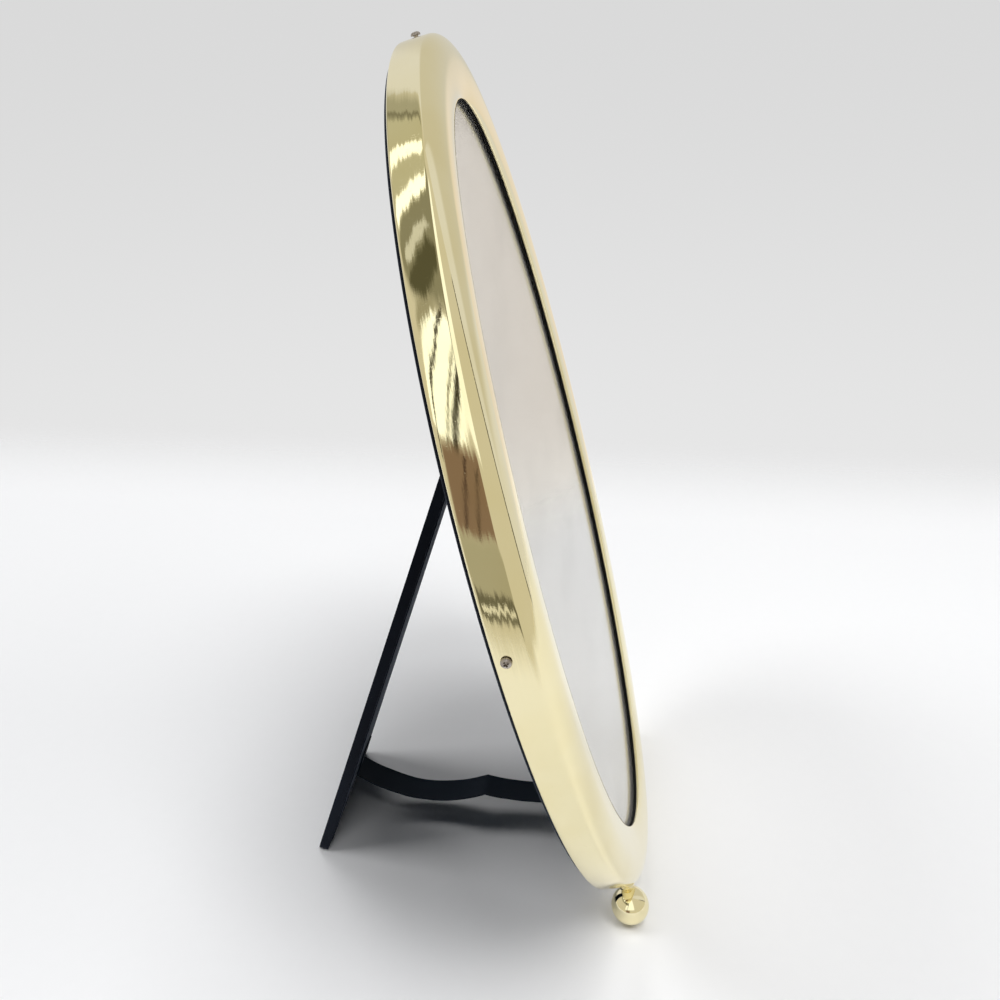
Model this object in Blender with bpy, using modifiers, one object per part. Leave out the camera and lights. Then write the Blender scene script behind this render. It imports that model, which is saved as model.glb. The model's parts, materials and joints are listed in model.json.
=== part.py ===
"""Oval brass picture frame with ball feet and a folding, velvet covered easel strut.

World axes: +X to the viewer's right, +Y to the back, +Z up, floor at Z = 0.
Frame space: X as in the world, Y up the leaning frame, Z towards the viewer. Its origin is
the middle of the oval, on the plane of the bezel's rear edge.
Strut space: origin on the hinge pin, Y up along the strut, Z towards the bezel.
"""

import math

import bmesh
import bpy
from mathutils import Matrix, Vector

MM = 0.001
HALF_TURN = math.pi
QUARTER_TURN = math.pi / 2
SMOOTH_ANGLE = 40.0

# Bezel: a spun brass sheet, domed, with its lip rolled in round the opening
OUTER_WIDTH = 148.4 * MM
OUTER_HEIGHT = 200.0 * MM
BEZEL_DEPTH = 9.1 * MM
BEZEL_WALL_HEIGHT = 5.7 * MM
BEZEL_CREST_INSET = 6.0 * MM
BEZEL_LIP_INSET = 12.7 * MM
BEZEL_LIP_DROP = 1.15 * MM
BEZEL_LIP_RETURN = 0.9 * MM
BEZEL_SHEET = 0.9 * MM
BEZEL_EDGE_CHAMFER = 0.15 * MM

# Stack behind the lip
GLASS_THICKNESS = 1.3 * MM
INSERT_THICKNESS = 0.25 * MM
FILLER_THICKNESS = 0.5 * MM
STACK_GAP = 0.2 * MM
BACK_BOARD_THICKNESS = 3.7 * MM
BACK_VELVET_THICKNESS = 1.0 * MM
BACK_VELVET_EDGE = 0.5 * MM
BACK_VELVET_TURN_UP = 3.7 * MM
BACK_VELVET_ROUND = 0.6 * MM

# Stance
LEAN_DEG = 15.0
STRUT_OPEN_DEG = 33.1

# Ball feet
FOOT_ANGLE_DEG = 24.0
FOOT_DEPTH = 3.0 * MM
BALL_RADIUS = 4.55 * MM
BALL_NECK_RADIUS = 1.75 * MM
BALL_NECK_LENGTH = 1.2 * MM
BALL_BORE_DEPTH = 4.5 * MM
COLLAR_RADIUS = 2.45 * MM
COLLAR_THICKNESS = 0.9 * MM
STUD_RADIUS = 0.7 * MM
STUD_BOARD_REACH = 7.0 * MM

# Rim screws
SCREW_DEPTH = 2.1 * MM
SIDE_SCREW_RISE_DEG = 0.7
SCREW_HEAD_RADIUS = 1.0 * MM
SCREW_HEAD_HEIGHT = 0.7 * MM
SCREW_SHANK_RADIUS = 0.5 * MM
SCREW_LENGTH = 7.0 * MM
SCREW_RECESS_WIDTH = 0.35 * MM
SCREW_RECESS_SPAN = 1.2 * MM
SCREW_RECESS_DEPTH = 0.4 * MM
TOP_SCREW_RISE = 1.0 * MM

# Hinge
HINGE_HEIGHT = 31.1 * MM
HINGE_WIDTH = 20.0 * MM
HINGE_LEAF_LENGTH = 13.0 * MM
HINGE_LEAF_THICKNESS = 0.6 * MM
HINGE_LEAF_CORNER = 2.5 * MM
HINGE_KNUCKLE_RADIUS = 1.5 * MM
HINGE_CENTRE_KNUCKLE = 8.0 * MM
HINGE_PIN_RADIUS = 0.65 * MM
HINGE_PIN_HEAD_RADIUS = 1.1 * MM
HINGE_PIN_HEAD_LENGTH = 0.4 * MM
HINGE_PIN_CLEARANCE = 0.1 * MM
RIVET_SPACING = 11.0 * MM
RIVET_DISTANCE = 8.0 * MM
RIVET_SHANK_RADIUS = 0.9 * MM
RIVET_HEAD_RADIUS = 1.9 * MM
RIVET_HEAD_HEIGHT = 0.7 * MM
RIVET_BOARD_REACH = 4.6 * MM

# Strut
STRUT_TOP_WIDTH = 22.0 * MM
STRUT_FOOT_WIDTH = 41.0 * MM
STRUT_TOP_CORNER = 2.5 * MM
STRUT_FOOT_CORNER = 2.5 * MM
STRUT_LINING_THICKNESS = 0.3 * MM
STRUT_LINING_MARGIN = 1.6 * MM
STRUT_BOARD_THICKNESS = 1.6 * MM
STRUT_VELVET_THICKNESS = 0.5 * MM
STRUT_VELVET_ROUND = 0.6 * MM
STRUT_FOOT_WRAP = 1.2 * MM

# Ribbon
RIBBON_WIDTH = 7.8 * MM
RIBBON_THICKNESS = 0.3 * MM
RIBBON_REACH = 120.6 * MM
RIBBON_TAB = 8.0 * MM
RIBBON_STRUT_LOBE = 5.0 * MM
RIBBON_BOARD_LOBE = 2.3 * MM
RIBBON_CREASE_SHARE = 0.48
RIBBON_CREASE_DROP = 2.8 * MM

# Clearances
FIT_GAP = 0.3 * MM
SEAT_GAP = 0.2 * MM
SCREW_CLEARANCE = 0.2 * MM

# Smoothness
OVAL_STEPS = 80
TURN_STEPS = 20
BALL_STEPS = 12
CORNER_STEPS = 5
DOME_STEPS = 7
LIP_STEPS = 7
HEAD_STEPS = 4
LOBE_STEPS = 9

LEAN = math.radians(LEAN_DEG)
STRUT_OPEN = math.radians(STRUT_OPEN_DEG)
STRUT_SLOPE = STRUT_OPEN - LEAN

# Levels in frame space, from the lip back to the rear face
LIP_BACK = BEZEL_DEPTH - BEZEL_LIP_DROP - BEZEL_LIP_RETURN
GLASS_FRONT = LIP_BACK - FIT_GAP
INSERT_FRONT = GLASS_FRONT - GLASS_THICKNESS - STACK_GAP
FILLER_FRONT = INSERT_FRONT - INSERT_THICKNESS - STACK_GAP
BOARD_FRONT = FILLER_FRONT - FILLER_THICKNESS - STACK_GAP
BOARD_REAR = BOARD_FRONT - BACK_BOARD_THICKNESS
VELVET_FRONT = BOARD_REAR - FIT_GAP
VELVET_REAR = VELVET_FRONT - BACK_VELVET_THICKNESS
VELVET_INSET = BEZEL_SHEET + FIT_GAP
BOARD_INSET = VELVET_INSET + BACK_VELVET_EDGE + FIT_GAP

# Levels in strut space, from the face that meets the back out to the rear face
LEAF_FRONT = HINGE_KNUCKLE_RADIUS
LEAF_BACK = LEAF_FRONT - HINGE_LEAF_THICKNESS
LINING_FRONT = LEAF_BACK - FIT_GAP
LINING_BACK = LINING_FRONT - STRUT_LINING_THICKNESS
STRUT_BOARD_FRONT = LINING_BACK - STACK_GAP
STRUT_BOARD_BACK = STRUT_BOARD_FRONT - STRUT_BOARD_THICKNESS
STRUT_VELVET_FRONT = STRUT_BOARD_BACK - STACK_GAP
STRUT_BACK = STRUT_VELVET_FRONT - STRUT_VELVET_THICKNESS
STRUT_BOARD_INSET = STRUT_VELVET_THICKNESS + STACK_GAP
STRUT_TOP = -(HINGE_KNUCKLE_RADIUS + FIT_GAP)

# The pin stands off the velvet by one knuckle radius and a gap
HINGE_LEVEL = VELVET_REAR - FIT_GAP - HINGE_KNUCKLE_RADIUS


def oval_frame(turn, inset=0.0):
    """Return the point and outward normal of the oval at an angle, moved in by an inset."""
    half_width = OUTER_WIDTH / 2
    half_height = OUTER_HEIGHT / 2
    point = Vector((half_width * math.cos(turn), half_height * math.sin(turn)))
    normal = Vector((math.cos(turn) / half_width, math.sin(turn) / half_height)).normalized()
    return point - normal * inset, normal


def oval_outline(inset):
    """Return the outline that lies an inset inside the bezel's outer oval."""
    step = 2 * HALF_TURN / OVAL_STEPS
    return [oval_frame(index * step, inset)[0] for index in range(OVAL_STEPS)]


def arc(centre, radii, start, end, steps):
    """Return points of an elliptical arc, both ends included."""
    points = []
    for index in range(steps + 1):
        angle = start + (end - start) * index / steps
        points.append(Vector((centre[0] + radii[0] * math.cos(angle),
                              centre[1] + radii[1] * math.sin(angle))))
    return points


def dome_inside_inset(level):
    """Return how far in the inner face of the bezel lies at a level."""
    rise = max(0.0, level - BEZEL_WALL_HEIGHT)
    height = BEZEL_DEPTH - BEZEL_WALL_HEIGHT - BEZEL_SHEET
    width = BEZEL_CREST_INSET - BEZEL_SHEET
    return BEZEL_CREST_INSET - width * math.sqrt(max(0.0, 1 - (rise / height) ** 2))


def bezel_profile():
    """Return the closed section of the bezel as inset and level, outer face first."""
    crest = BEZEL_CREST_INSET
    wall = BEZEL_WALL_HEIGHT
    roll = BEZEL_LIP_INSET - crest
    lip_front = BEZEL_DEPTH - BEZEL_LIP_DROP
    section = [Vector((BEZEL_EDGE_CHAMFER, 0.0)), Vector((0.0, BEZEL_EDGE_CHAMFER))]
    section += arc((crest, wall), (crest, BEZEL_DEPTH - wall), HALF_TURN, QUARTER_TURN, DOME_STEPS)
    section += arc((crest, lip_front), (roll, BEZEL_LIP_DROP), QUARTER_TURN, 0.0, LIP_STEPS)[1:]
    section += [Vector((BEZEL_LIP_INSET, LIP_BACK)), Vector((BEZEL_LIP_INSET - BEZEL_SHEET, LIP_BACK))]
    section += arc((crest, lip_front), (roll - BEZEL_SHEET, BEZEL_LIP_DROP - BEZEL_SHEET),
                   0.0, QUARTER_TURN, LIP_STEPS - 2)
    section += arc((crest, wall), (crest - BEZEL_SHEET, BEZEL_DEPTH - wall - BEZEL_SHEET),
                   QUARTER_TURN, HALF_TURN, DOME_STEPS - 3)[1:]
    section += [Vector((BEZEL_SHEET, 0.0))]
    return section


def rounded_outline(corners, radii, insets):
    """Return a convex outline moved in by an inset per side, with rounded corners.

    Corners run counter-clockwise, and side i goes from corner i to the next one.
    """
    count = len(corners)
    lines = []
    for index in range(count):
        start = Vector(corners[index])
        along = (Vector(corners[(index + 1) % count]) - start).normalized()
        inward = Vector((-along.y, along.x))
        lines.append((start + inward * insets[index], along))
    outline = []
    for index in range(count):
        point_a, along_a = lines[index - 1]
        point_b, along_b = lines[index]
        cross = along_a.x * along_b.y - along_a.y * along_b.x
        gap = point_b - point_a
        reach = (gap.x * along_b.y - gap.y * along_b.x) / cross
        corner = point_a + along_a * reach
        bend = math.atan2(cross, along_a.dot(along_b))
        radius = max(radii[index] - max(insets[index - 1], insets[index]), 0.1 * MM)
        first = corner - along_a * radius * math.tan(bend / 2)
        centre = first + Vector((-along_a.y, along_a.x)) * radius
        start_angle = math.atan2(first.y - centre.y, first.x - centre.x)
        outline += arc(centre, (radius, radius), start_angle, start_angle + bend, CORNER_STEPS)
    return outline


def new_material(name, colour, roughness, metallic=0.0, transmission=0.0):
    """Return a Principled material."""
    material = bpy.data.materials.new(name)
    material.use_nodes = True
    shader = material.node_tree.nodes["Principled BSDF"]
    shader.inputs["Base Color"].default_value = (*colour, 1.0)
    shader.inputs["Roughness"].default_value = roughness
    shader.inputs["Metallic"].default_value = metallic
    shader.inputs["Transmission Weight"].default_value = transmission
    material.diffuse_color = (*colour, 1.0)
    return material


def place(obj, collection, parent=None, matrix=None):
    """Link an object to a collection, under a parent, at a place in the parent's space."""
    collection.objects.link(obj)
    if parent is not None:
        obj.parent = parent
    if matrix is not None:
        obj.matrix_local = matrix
    return obj


def finish_piece(obj, material, smooth_angle=None):
    """Give a piece its material and, where it is round, smooth shading."""
    obj.data.materials.clear()
    obj.data.materials.append(material)
    if smooth_angle is not None:
        obj.data.shade_smooth()
        obj.data.set_sharp_from_angle(angle=math.radians(smooth_angle))
    return obj


def make_cutter(obj):
    """Mark an object as a cutter, shown as wire only."""
    obj.hide_render = True
    obj.display_type = "WIRE"
    return obj


def cut(obj, cutter):
    """Take a cutter's volume away from a piece."""
    modifier = obj.modifiers.new("cut_" + cutter.name, "BOOLEAN")
    modifier.operation = "DIFFERENCE"
    modifier.object = cutter
    modifier.solver = "EXACT"


def join_volume(obj, other):
    """Add another object's volume to a piece."""
    modifier = obj.modifiers.new("join_" + other.name, "BOOLEAN")
    modifier.operation = "UNION"
    modifier.object = other
    modifier.solver = "EXACT"


def curve_object(name, outline, cyclic=True):
    """Return a flat curve object through the points of an outline."""
    curve = bpy.data.curves.new(name, "CURVE")
    curve.dimensions = "2D"
    spline = curve.splines.new("POLY")
    spline.points.add(len(outline) - 1)
    for point, place_xy in zip(spline.points, outline):
        point.co = (place_xy[0], place_xy[1], 0.0, 1.0)
    spline.use_cyclic_u = cyclic
    return bpy.data.objects.new(name, curve)


def curve_to_mesh(curve_obj, collection):
    """Replace a curve object by its mesh, with the caps welded on."""
    bpy.context.view_layer.update()
    graph = bpy.context.evaluated_depsgraph_get()
    mesh = bpy.data.meshes.new_from_object(curve_obj.evaluated_get(graph))
    builder = bmesh.new()
    builder.from_mesh(mesh)
    bmesh.ops.remove_doubles(builder, verts=builder.verts, dist=0.001 * MM)
    bmesh.ops.recalc_face_normals(builder, faces=builder.faces)
    builder.to_mesh(mesh)
    builder.free()
    name = curve_obj.name
    parent = curve_obj.parent
    matrix = curve_obj.matrix_local.copy()
    bpy.data.objects.remove(curve_obj)
    mesh.name = name
    return place(bpy.data.objects.new(name, mesh), collection, parent, matrix)


def slab(name, outline, low, high, collection, parent):
    """Return a flat plate of an outline between two levels of its parent's space."""
    curve_obj = curve_object(name, outline)
    curve_obj.data.fill_mode = "BOTH"
    curve_obj.data.extrude = (high - low) / 2
    place(curve_obj, collection, parent, Matrix.Translation((0.0, 0.0, (low + high) / 2)))
    return curve_to_mesh(curve_obj, collection)


def round_rear_edge(obj, width):
    """Round the outline of a plate where it meets the plate's lowest level."""
    mesh = obj.data
    low = min(vertex.co.z for vertex in mesh.vertices)
    near = 0.01 * MM
    weights = mesh.attributes.new("bevel_weight_edge", "FLOAT", "EDGE")
    faces_by_edge = {}
    for face in mesh.polygons:
        for key in face.edge_keys:
            faces_by_edge.setdefault(key, []).append(face)
    for index, edge in enumerate(mesh.edges):
        ends = [mesh.vertices[vertex].co.z for vertex in edge.vertices]
        pair = faces_by_edge[edge.key]
        outer = any(abs(face.normal.z) < 0.5 for face in pair)
        weights.data[index].value = 1.0 if max(ends) < low + near and outer else 0.0
    bevel = obj.modifiers.new("rounded_edge", "BEVEL")
    bevel.limit_method = "WEIGHT"
    bevel.width = width
    bevel.segments = 2


def swept_ring(name, outline, section, collection, parent):
    """Return a closed ring: a section of inset and level carried round an outline."""
    section_obj = curve_object(name + "_section", section)
    collection.objects.link(section_obj)
    ring = curve_object(name, outline)
    ring.data.fill_mode = "NONE"
    ring.data.bevel_mode = "OBJECT"
    ring.data.bevel_object = section_obj
    place(ring, collection, parent, Matrix())
    mesh_obj = curve_to_mesh(ring, collection)
    bpy.data.objects.remove(section_obj)
    return mesh_obj


def turned(name, profile, collection, parent, matrix, closed=False):
    """Return a turned piece: radius and height points spun round the local Z axis."""
    mesh = bpy.data.meshes.new(name)
    points = [(radius, 0.0, height) for radius, height in profile]
    edges = [(index, index + 1) for index in range(len(points) - 1)]
    if closed:
        edges.append((len(points) - 1, 0))
    mesh.from_pydata(points, edges, [])
    obj = place(bpy.data.objects.new(name, mesh), collection, parent, matrix)
    screw = obj.modifiers.new("turn", "SCREW")
    screw.steps = TURN_STEPS
    screw.render_steps = TURN_STEPS
    screw.use_merge_vertices = True
    screw.merge_threshold = 0.001 * MM
    screw.use_smooth_shade = True
    return obj


def rod(name, radius, low, high, collection, parent, matrix):
    """Return a plain round bar between two heights of a local Z axis."""
    mesh = bpy.data.meshes.new(name)
    builder = bmesh.new()
    bmesh.ops.create_cone(builder, cap_ends=True, segments=TURN_STEPS, radius1=radius, radius2=radius,
                          depth=high - low, matrix=Matrix.Translation((0.0, 0.0, (low + high) / 2)))
    builder.to_mesh(mesh)
    builder.free()
    return place(bpy.data.objects.new(name, mesh), collection, parent, matrix)


def block(name, low, high, collection, parent):
    """Return a box between two corners of its parent's space."""
    mesh = bpy.data.meshes.new(name)
    builder = bmesh.new()
    bmesh.ops.create_cube(builder, size=1.0)
    size = Vector(high) - Vector(low)
    middle = (Vector(high) + Vector(low)) / 2
    bmesh.ops.scale(builder, vec=size, verts=builder.verts)
    bmesh.ops.translate(builder, vec=middle, verts=builder.verts)
    builder.to_mesh(mesh)
    builder.free()
    return place(bpy.data.objects.new(name, mesh), collection, parent)


def rim_matrix(turn, level):
    """Return the place on the rim's side wall at an angle, with local Z pointing out of it."""
    point, normal = oval_frame(turn)
    axis_z = Vector((normal.x, normal.y, 0.0))
    axis_y = Vector((0.0, 0.0, 1.0))
    axis_x = axis_y.cross(axis_z)
    matrix = Matrix((axis_x, axis_y, axis_z)).transposed().to_4x4()
    matrix.translation = (point.x, point.y, level)
    return matrix


def domed_head(radius, height, base):
    """Return the outer profile of a low domed head, from its rim up to the axis."""
    curve = arc((0.0, base), (radius, height), 0.0, QUARTER_TURN, HEAD_STEPS)
    return [(point.x, point.y) for point in curve]


def strut_outline(insets):
    """Return the strut's outline; insets are for foot, right side, top and left side."""
    foot = -foot_reach(STRUT_BACK) - SEAT_GAP
    half_foot = STRUT_FOOT_WIDTH / 2
    half_top = STRUT_TOP_WIDTH / 2
    corners = [(-half_foot, foot), (half_foot, foot), (half_top, STRUT_TOP), (-half_top, STRUT_TOP)]
    radii = (STRUT_FOOT_CORNER, STRUT_FOOT_CORNER, STRUT_TOP_CORNER, STRUT_TOP_CORNER)
    return rounded_outline(corners, radii, insets)


def centre_height():
    """Return how high the middle of the oval stands when the balls touch the floor."""
    point, _ = oval_frame(math.radians(270.0 + FOOT_ANGLE_DEG), -ball_standoff())
    return BALL_RADIUS - point.y * math.cos(LEAN) - FOOT_DEPTH * math.sin(LEAN)


def ball_standoff():
    """Return how far the middle of a ball stands outside the rim."""
    neck = math.sqrt(BALL_RADIUS ** 2 - BALL_NECK_RADIUS ** 2)
    return SEAT_GAP + COLLAR_THICKNESS + SEAT_GAP + BALL_NECK_LENGTH + neck


def hinge_height():
    """Return the height of the hinge pin above the floor."""
    return centre_height() + HINGE_HEIGHT * math.cos(LEAN) + HINGE_LEVEL * math.sin(LEAN)


def foot_reach(level):
    """Return how far below the pin the strut meets the floor, at a level of strut space."""
    return (hinge_height() - level * math.sin(STRUT_SLOPE)) / math.cos(STRUT_SLOPE)


def depth_centre():
    """Return the middle of the object's depth, measured from the oval's middle."""
    front = []
    for inset, level in bezel_profile():
        front.append(-(OUTER_HEIGHT / 2 - inset) * math.sin(LEAN) - level * math.cos(LEAN))
    hinge_back = HINGE_HEIGHT * math.sin(LEAN) - HINGE_LEVEL * math.cos(LEAN)
    reach = foot_reach(STRUT_BACK)
    back = hinge_back + reach * math.sin(STRUT_SLOPE) - STRUT_BACK * math.cos(STRUT_SLOPE)
    return (min(front) + back) / 2


def build_bezel(parts, space, brass, holes):
    """Make the bezel and pierce it for the screws and studs."""
    bezel = swept_ring("bezel", oval_outline(0.0), bezel_profile(), parts, space)
    for hole in holes:
        cut(bezel, hole)
    finish_piece(bezel, brass, SMOOTH_ANGLE)


def build_stack(parts, cutters, space, materials, holes, rivet_holes):
    """Make the glass, the picture sheet, the card and the covered back board."""
    sheets = (
        ("glass_pane", GLASS_FRONT, GLASS_THICKNESS, materials["glass"]),
        ("picture_insert", INSERT_FRONT, INSERT_THICKNESS, materials["paper"]),
        ("filler_card", FILLER_FRONT, FILLER_THICKNESS, materials["card"]),
    )
    for name, front, thickness, material in sheets:
        outline = oval_outline(dome_inside_inset(front) + FIT_GAP)
        finish_piece(slab(name, outline, front - thickness, front, parts, space), material)

    board = slab("back_board", oval_outline(BOARD_INSET), BOARD_REAR, BOARD_FRONT, parts, space)
    velvet_front = VELVET_FRONT + BACK_VELVET_TURN_UP
    velvet = slab("back_velvet", oval_outline(VELVET_INSET), VELVET_REAR, velvet_front, parts, space)
    round_rear_edge(velvet, BACK_VELVET_ROUND)
    pocket = slab("back_velvet_pocket", oval_outline(VELVET_INSET + BACK_VELVET_EDGE),
                  VELVET_FRONT, velvet_front + FIT_GAP, cutters, space)
    cut(velvet, make_cutter(pocket))
    for hole in holes + rivet_holes:
        cut(board, hole)
        cut(velvet, hole)
    finish_piece(board, materials["hardboard"])
    finish_piece(velvet, materials["velvet"])


def rim_places():
    """Return each screw with its angle and how proud it stands, and each ball foot."""
    turn = SIDE_SCREW_RISE_DEG
    screws = [("top", 90.0, TOP_SCREW_RISE), ("left", 180.0 - turn, 0.0), ("right", turn, 0.0)]
    feet = [("left", 270.0 - FOOT_ANGLE_DEG), ("right", 270.0 + FOOT_ANGLE_DEG)]
    return screws, feet


def build_rim_holes(cutters, space):
    """Make the cutters for the screw and stud holes through rim, velvet and board."""
    screws, feet = rim_places()
    holes = []
    for name, angle, _ in screws:
        matrix = rim_matrix(math.radians(angle), SCREW_DEPTH)
        radius = SCREW_SHANK_RADIUS + SCREW_CLEARANCE
        low = -SCREW_LENGTH - FIT_GAP
        hole = rod("screw_hole_" + name, radius, low, BEZEL_SHEET, cutters, space, matrix)
        holes.append(make_cutter(hole))
    for name, angle in feet:
        matrix = rim_matrix(math.radians(angle), FOOT_DEPTH)
        radius = STUD_RADIUS + SCREW_CLEARANCE
        low = -STUD_BOARD_REACH - FIT_GAP
        hole = rod("stud_hole_" + name, radius, low, BEZEL_SHEET, cutters, space, matrix)
        holes.append(make_cutter(hole))
    return holes


def build_rim_screws(parts, cutters, space, steel):
    """Make the three pan head screws that hold the back in the bezel."""
    screws, _ = rim_places()
    for name, angle, rise in screws:
        lift = Matrix.Translation((0.0, 0.0, SEAT_GAP + rise))
        matrix = rim_matrix(math.radians(angle), SCREW_DEPTH) @ lift
        head = domed_head(SCREW_HEAD_RADIUS, SCREW_HEAD_HEIGHT, 0.0)
        tip = -SCREW_LENGTH + SCREW_SHANK_RADIUS
        profile = list(reversed(head))
        profile += [(SCREW_SHANK_RADIUS, 0.0), (SCREW_SHANK_RADIUS, tip), (0.0, -SCREW_LENGTH)]
        screw = turned("rim_screw_" + name, profile, parts, space, matrix)
        floor = SCREW_HEAD_HEIGHT - SCREW_RECESS_DEPTH
        for index, half in enumerate(((SCREW_RECESS_SPAN, SCREW_RECESS_WIDTH),
                                      (SCREW_RECESS_WIDTH, SCREW_RECESS_SPAN))):
            low = (-half[0] / 2, -half[1] / 2, floor)
            high = (half[0] / 2, half[1] / 2, SCREW_HEAD_HEIGHT + FIT_GAP)
            slot = block("recess_%s_%d" % (name, index), low, high, cutters, space)
            slot.matrix_local = matrix
            cut(screw, make_cutter(slot))
        finish_piece(screw, steel, SMOOTH_ANGLE)


def build_feet(parts, space, brass, steel):
    """Make the two turned ball feet with their collars and studs."""
    _, feet = rim_places()
    neck_top = SEAT_GAP + COLLAR_THICKNESS + SEAT_GAP
    bore_radius = STUD_RADIUS + SCREW_CLEARANCE
    neck_angle = math.acos(BALL_NECK_RADIUS / BALL_RADIUS)
    middle = ball_standoff()
    for name, angle in feet:
        matrix = rim_matrix(math.radians(angle), FOOT_DEPTH)
        ball = arc((0.0, middle), (BALL_RADIUS, BALL_RADIUS), QUARTER_TURN, -neck_angle, BALL_STEPS)
        bore_floor = neck_top + BALL_BORE_DEPTH
        profile = [(point.x, point.y) for point in ball]
        profile += [(BALL_NECK_RADIUS, neck_top), (bore_radius, neck_top)]
        profile += [(bore_radius, bore_floor), (0.0, bore_floor + bore_radius / 2)]
        finish_piece(turned("ball_foot_" + name, profile, parts, space, matrix), brass, SMOOTH_ANGLE)

        low = SEAT_GAP
        high = low + COLLAR_THICKNESS
        bulge = arc((COLLAR_RADIUS - COLLAR_THICKNESS / 2, (low + high) / 2),
                    (COLLAR_THICKNESS / 2, COLLAR_THICKNESS / 2), QUARTER_TURN, -QUARTER_TURN, HEAD_STEPS)
        ring = [(bore_radius, high)] + [(point.x, point.y) for point in bulge] + [(bore_radius, low)]
        collar = turned("foot_collar_" + name, ring, parts, space, matrix, closed=True)
        finish_piece(collar, brass, SMOOTH_ANGLE)

        stud_top = bore_floor - FIT_GAP
        stud = rod("foot_stud_" + name, STUD_RADIUS, -STUD_BOARD_REACH, stud_top, parts, space, matrix)
        finish_piece(stud, steel, SMOOTH_ANGLE)


def rivet_places(side):
    """Return the two rivet centres of a leaf; side is 1 above the pin and -1 below it."""
    half = RIVET_SPACING / 2
    return [("left", -half, side * RIVET_DISTANCE), ("right", half, side * RIVET_DISTANCE)]


def hinge_leaf(name, side, parts, cutters, space):
    """Make a hinge leaf with its knuckles, in a space whose origin is on the pin."""
    half = HINGE_WIDTH / 2
    centre_half = HINGE_CENTRE_KNUCKLE / 2
    low_y, high_y = sorted((0.0, side * HINGE_LEAF_LENGTH))
    corners = [(-half, low_y), (half, low_y), (half, high_y), (-half, high_y)]
    small = 0.2 * MM
    radii = (small, small, HINGE_LEAF_CORNER, HINGE_LEAF_CORNER)
    if side < 0:
        radii = (HINGE_LEAF_CORNER, HINGE_LEAF_CORNER, small, small)
    outline = rounded_outline(corners, radii, (0.0, 0.0, 0.0, 0.0))
    leaf = slab(name, outline, LEAF_BACK, LEAF_FRONT, parts, space)

    # The knuckles lie along X
    along_x = Matrix.Rotation(QUARTER_TURN, 4, "Y")
    if side > 0:
        spans = [(-half, -centre_half - FIT_GAP / 2), (centre_half + FIT_GAP / 2, half)]
        gaps = [(-centre_half - FIT_GAP / 2, centre_half + FIT_GAP / 2)]
    else:
        spans = [(-centre_half + FIT_GAP / 2, centre_half - FIT_GAP / 2)]
        gaps = [(-half - FIT_GAP, -centre_half + FIT_GAP / 2), (centre_half - FIT_GAP / 2, half + FIT_GAP)]
    clear = HINGE_KNUCKLE_RADIUS + FIT_GAP
    for index, (start, end) in enumerate(gaps):
        notch = block("%s_notch_%d" % (name, index), (start, -clear, LEAF_BACK - FIT_GAP),
                      (end, clear, LEAF_FRONT + FIT_GAP), cutters, space)
        cut(leaf, make_cutter(notch))
    for index, (start, end) in enumerate(spans):
        barrel_name = "%s_knuckle_%d" % (name, index)
        barrel = rod(barrel_name, HINGE_KNUCKLE_RADIUS, start, end, cutters, space, along_x)
        join_volume(leaf, make_cutter(barrel))
    bore = rod(name + "_bore", HINGE_PIN_RADIUS + HINGE_PIN_CLEARANCE, -HINGE_WIDTH, HINGE_WIDTH,
               cutters, space, along_x)
    cut(leaf, make_cutter(bore))
    return leaf


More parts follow.
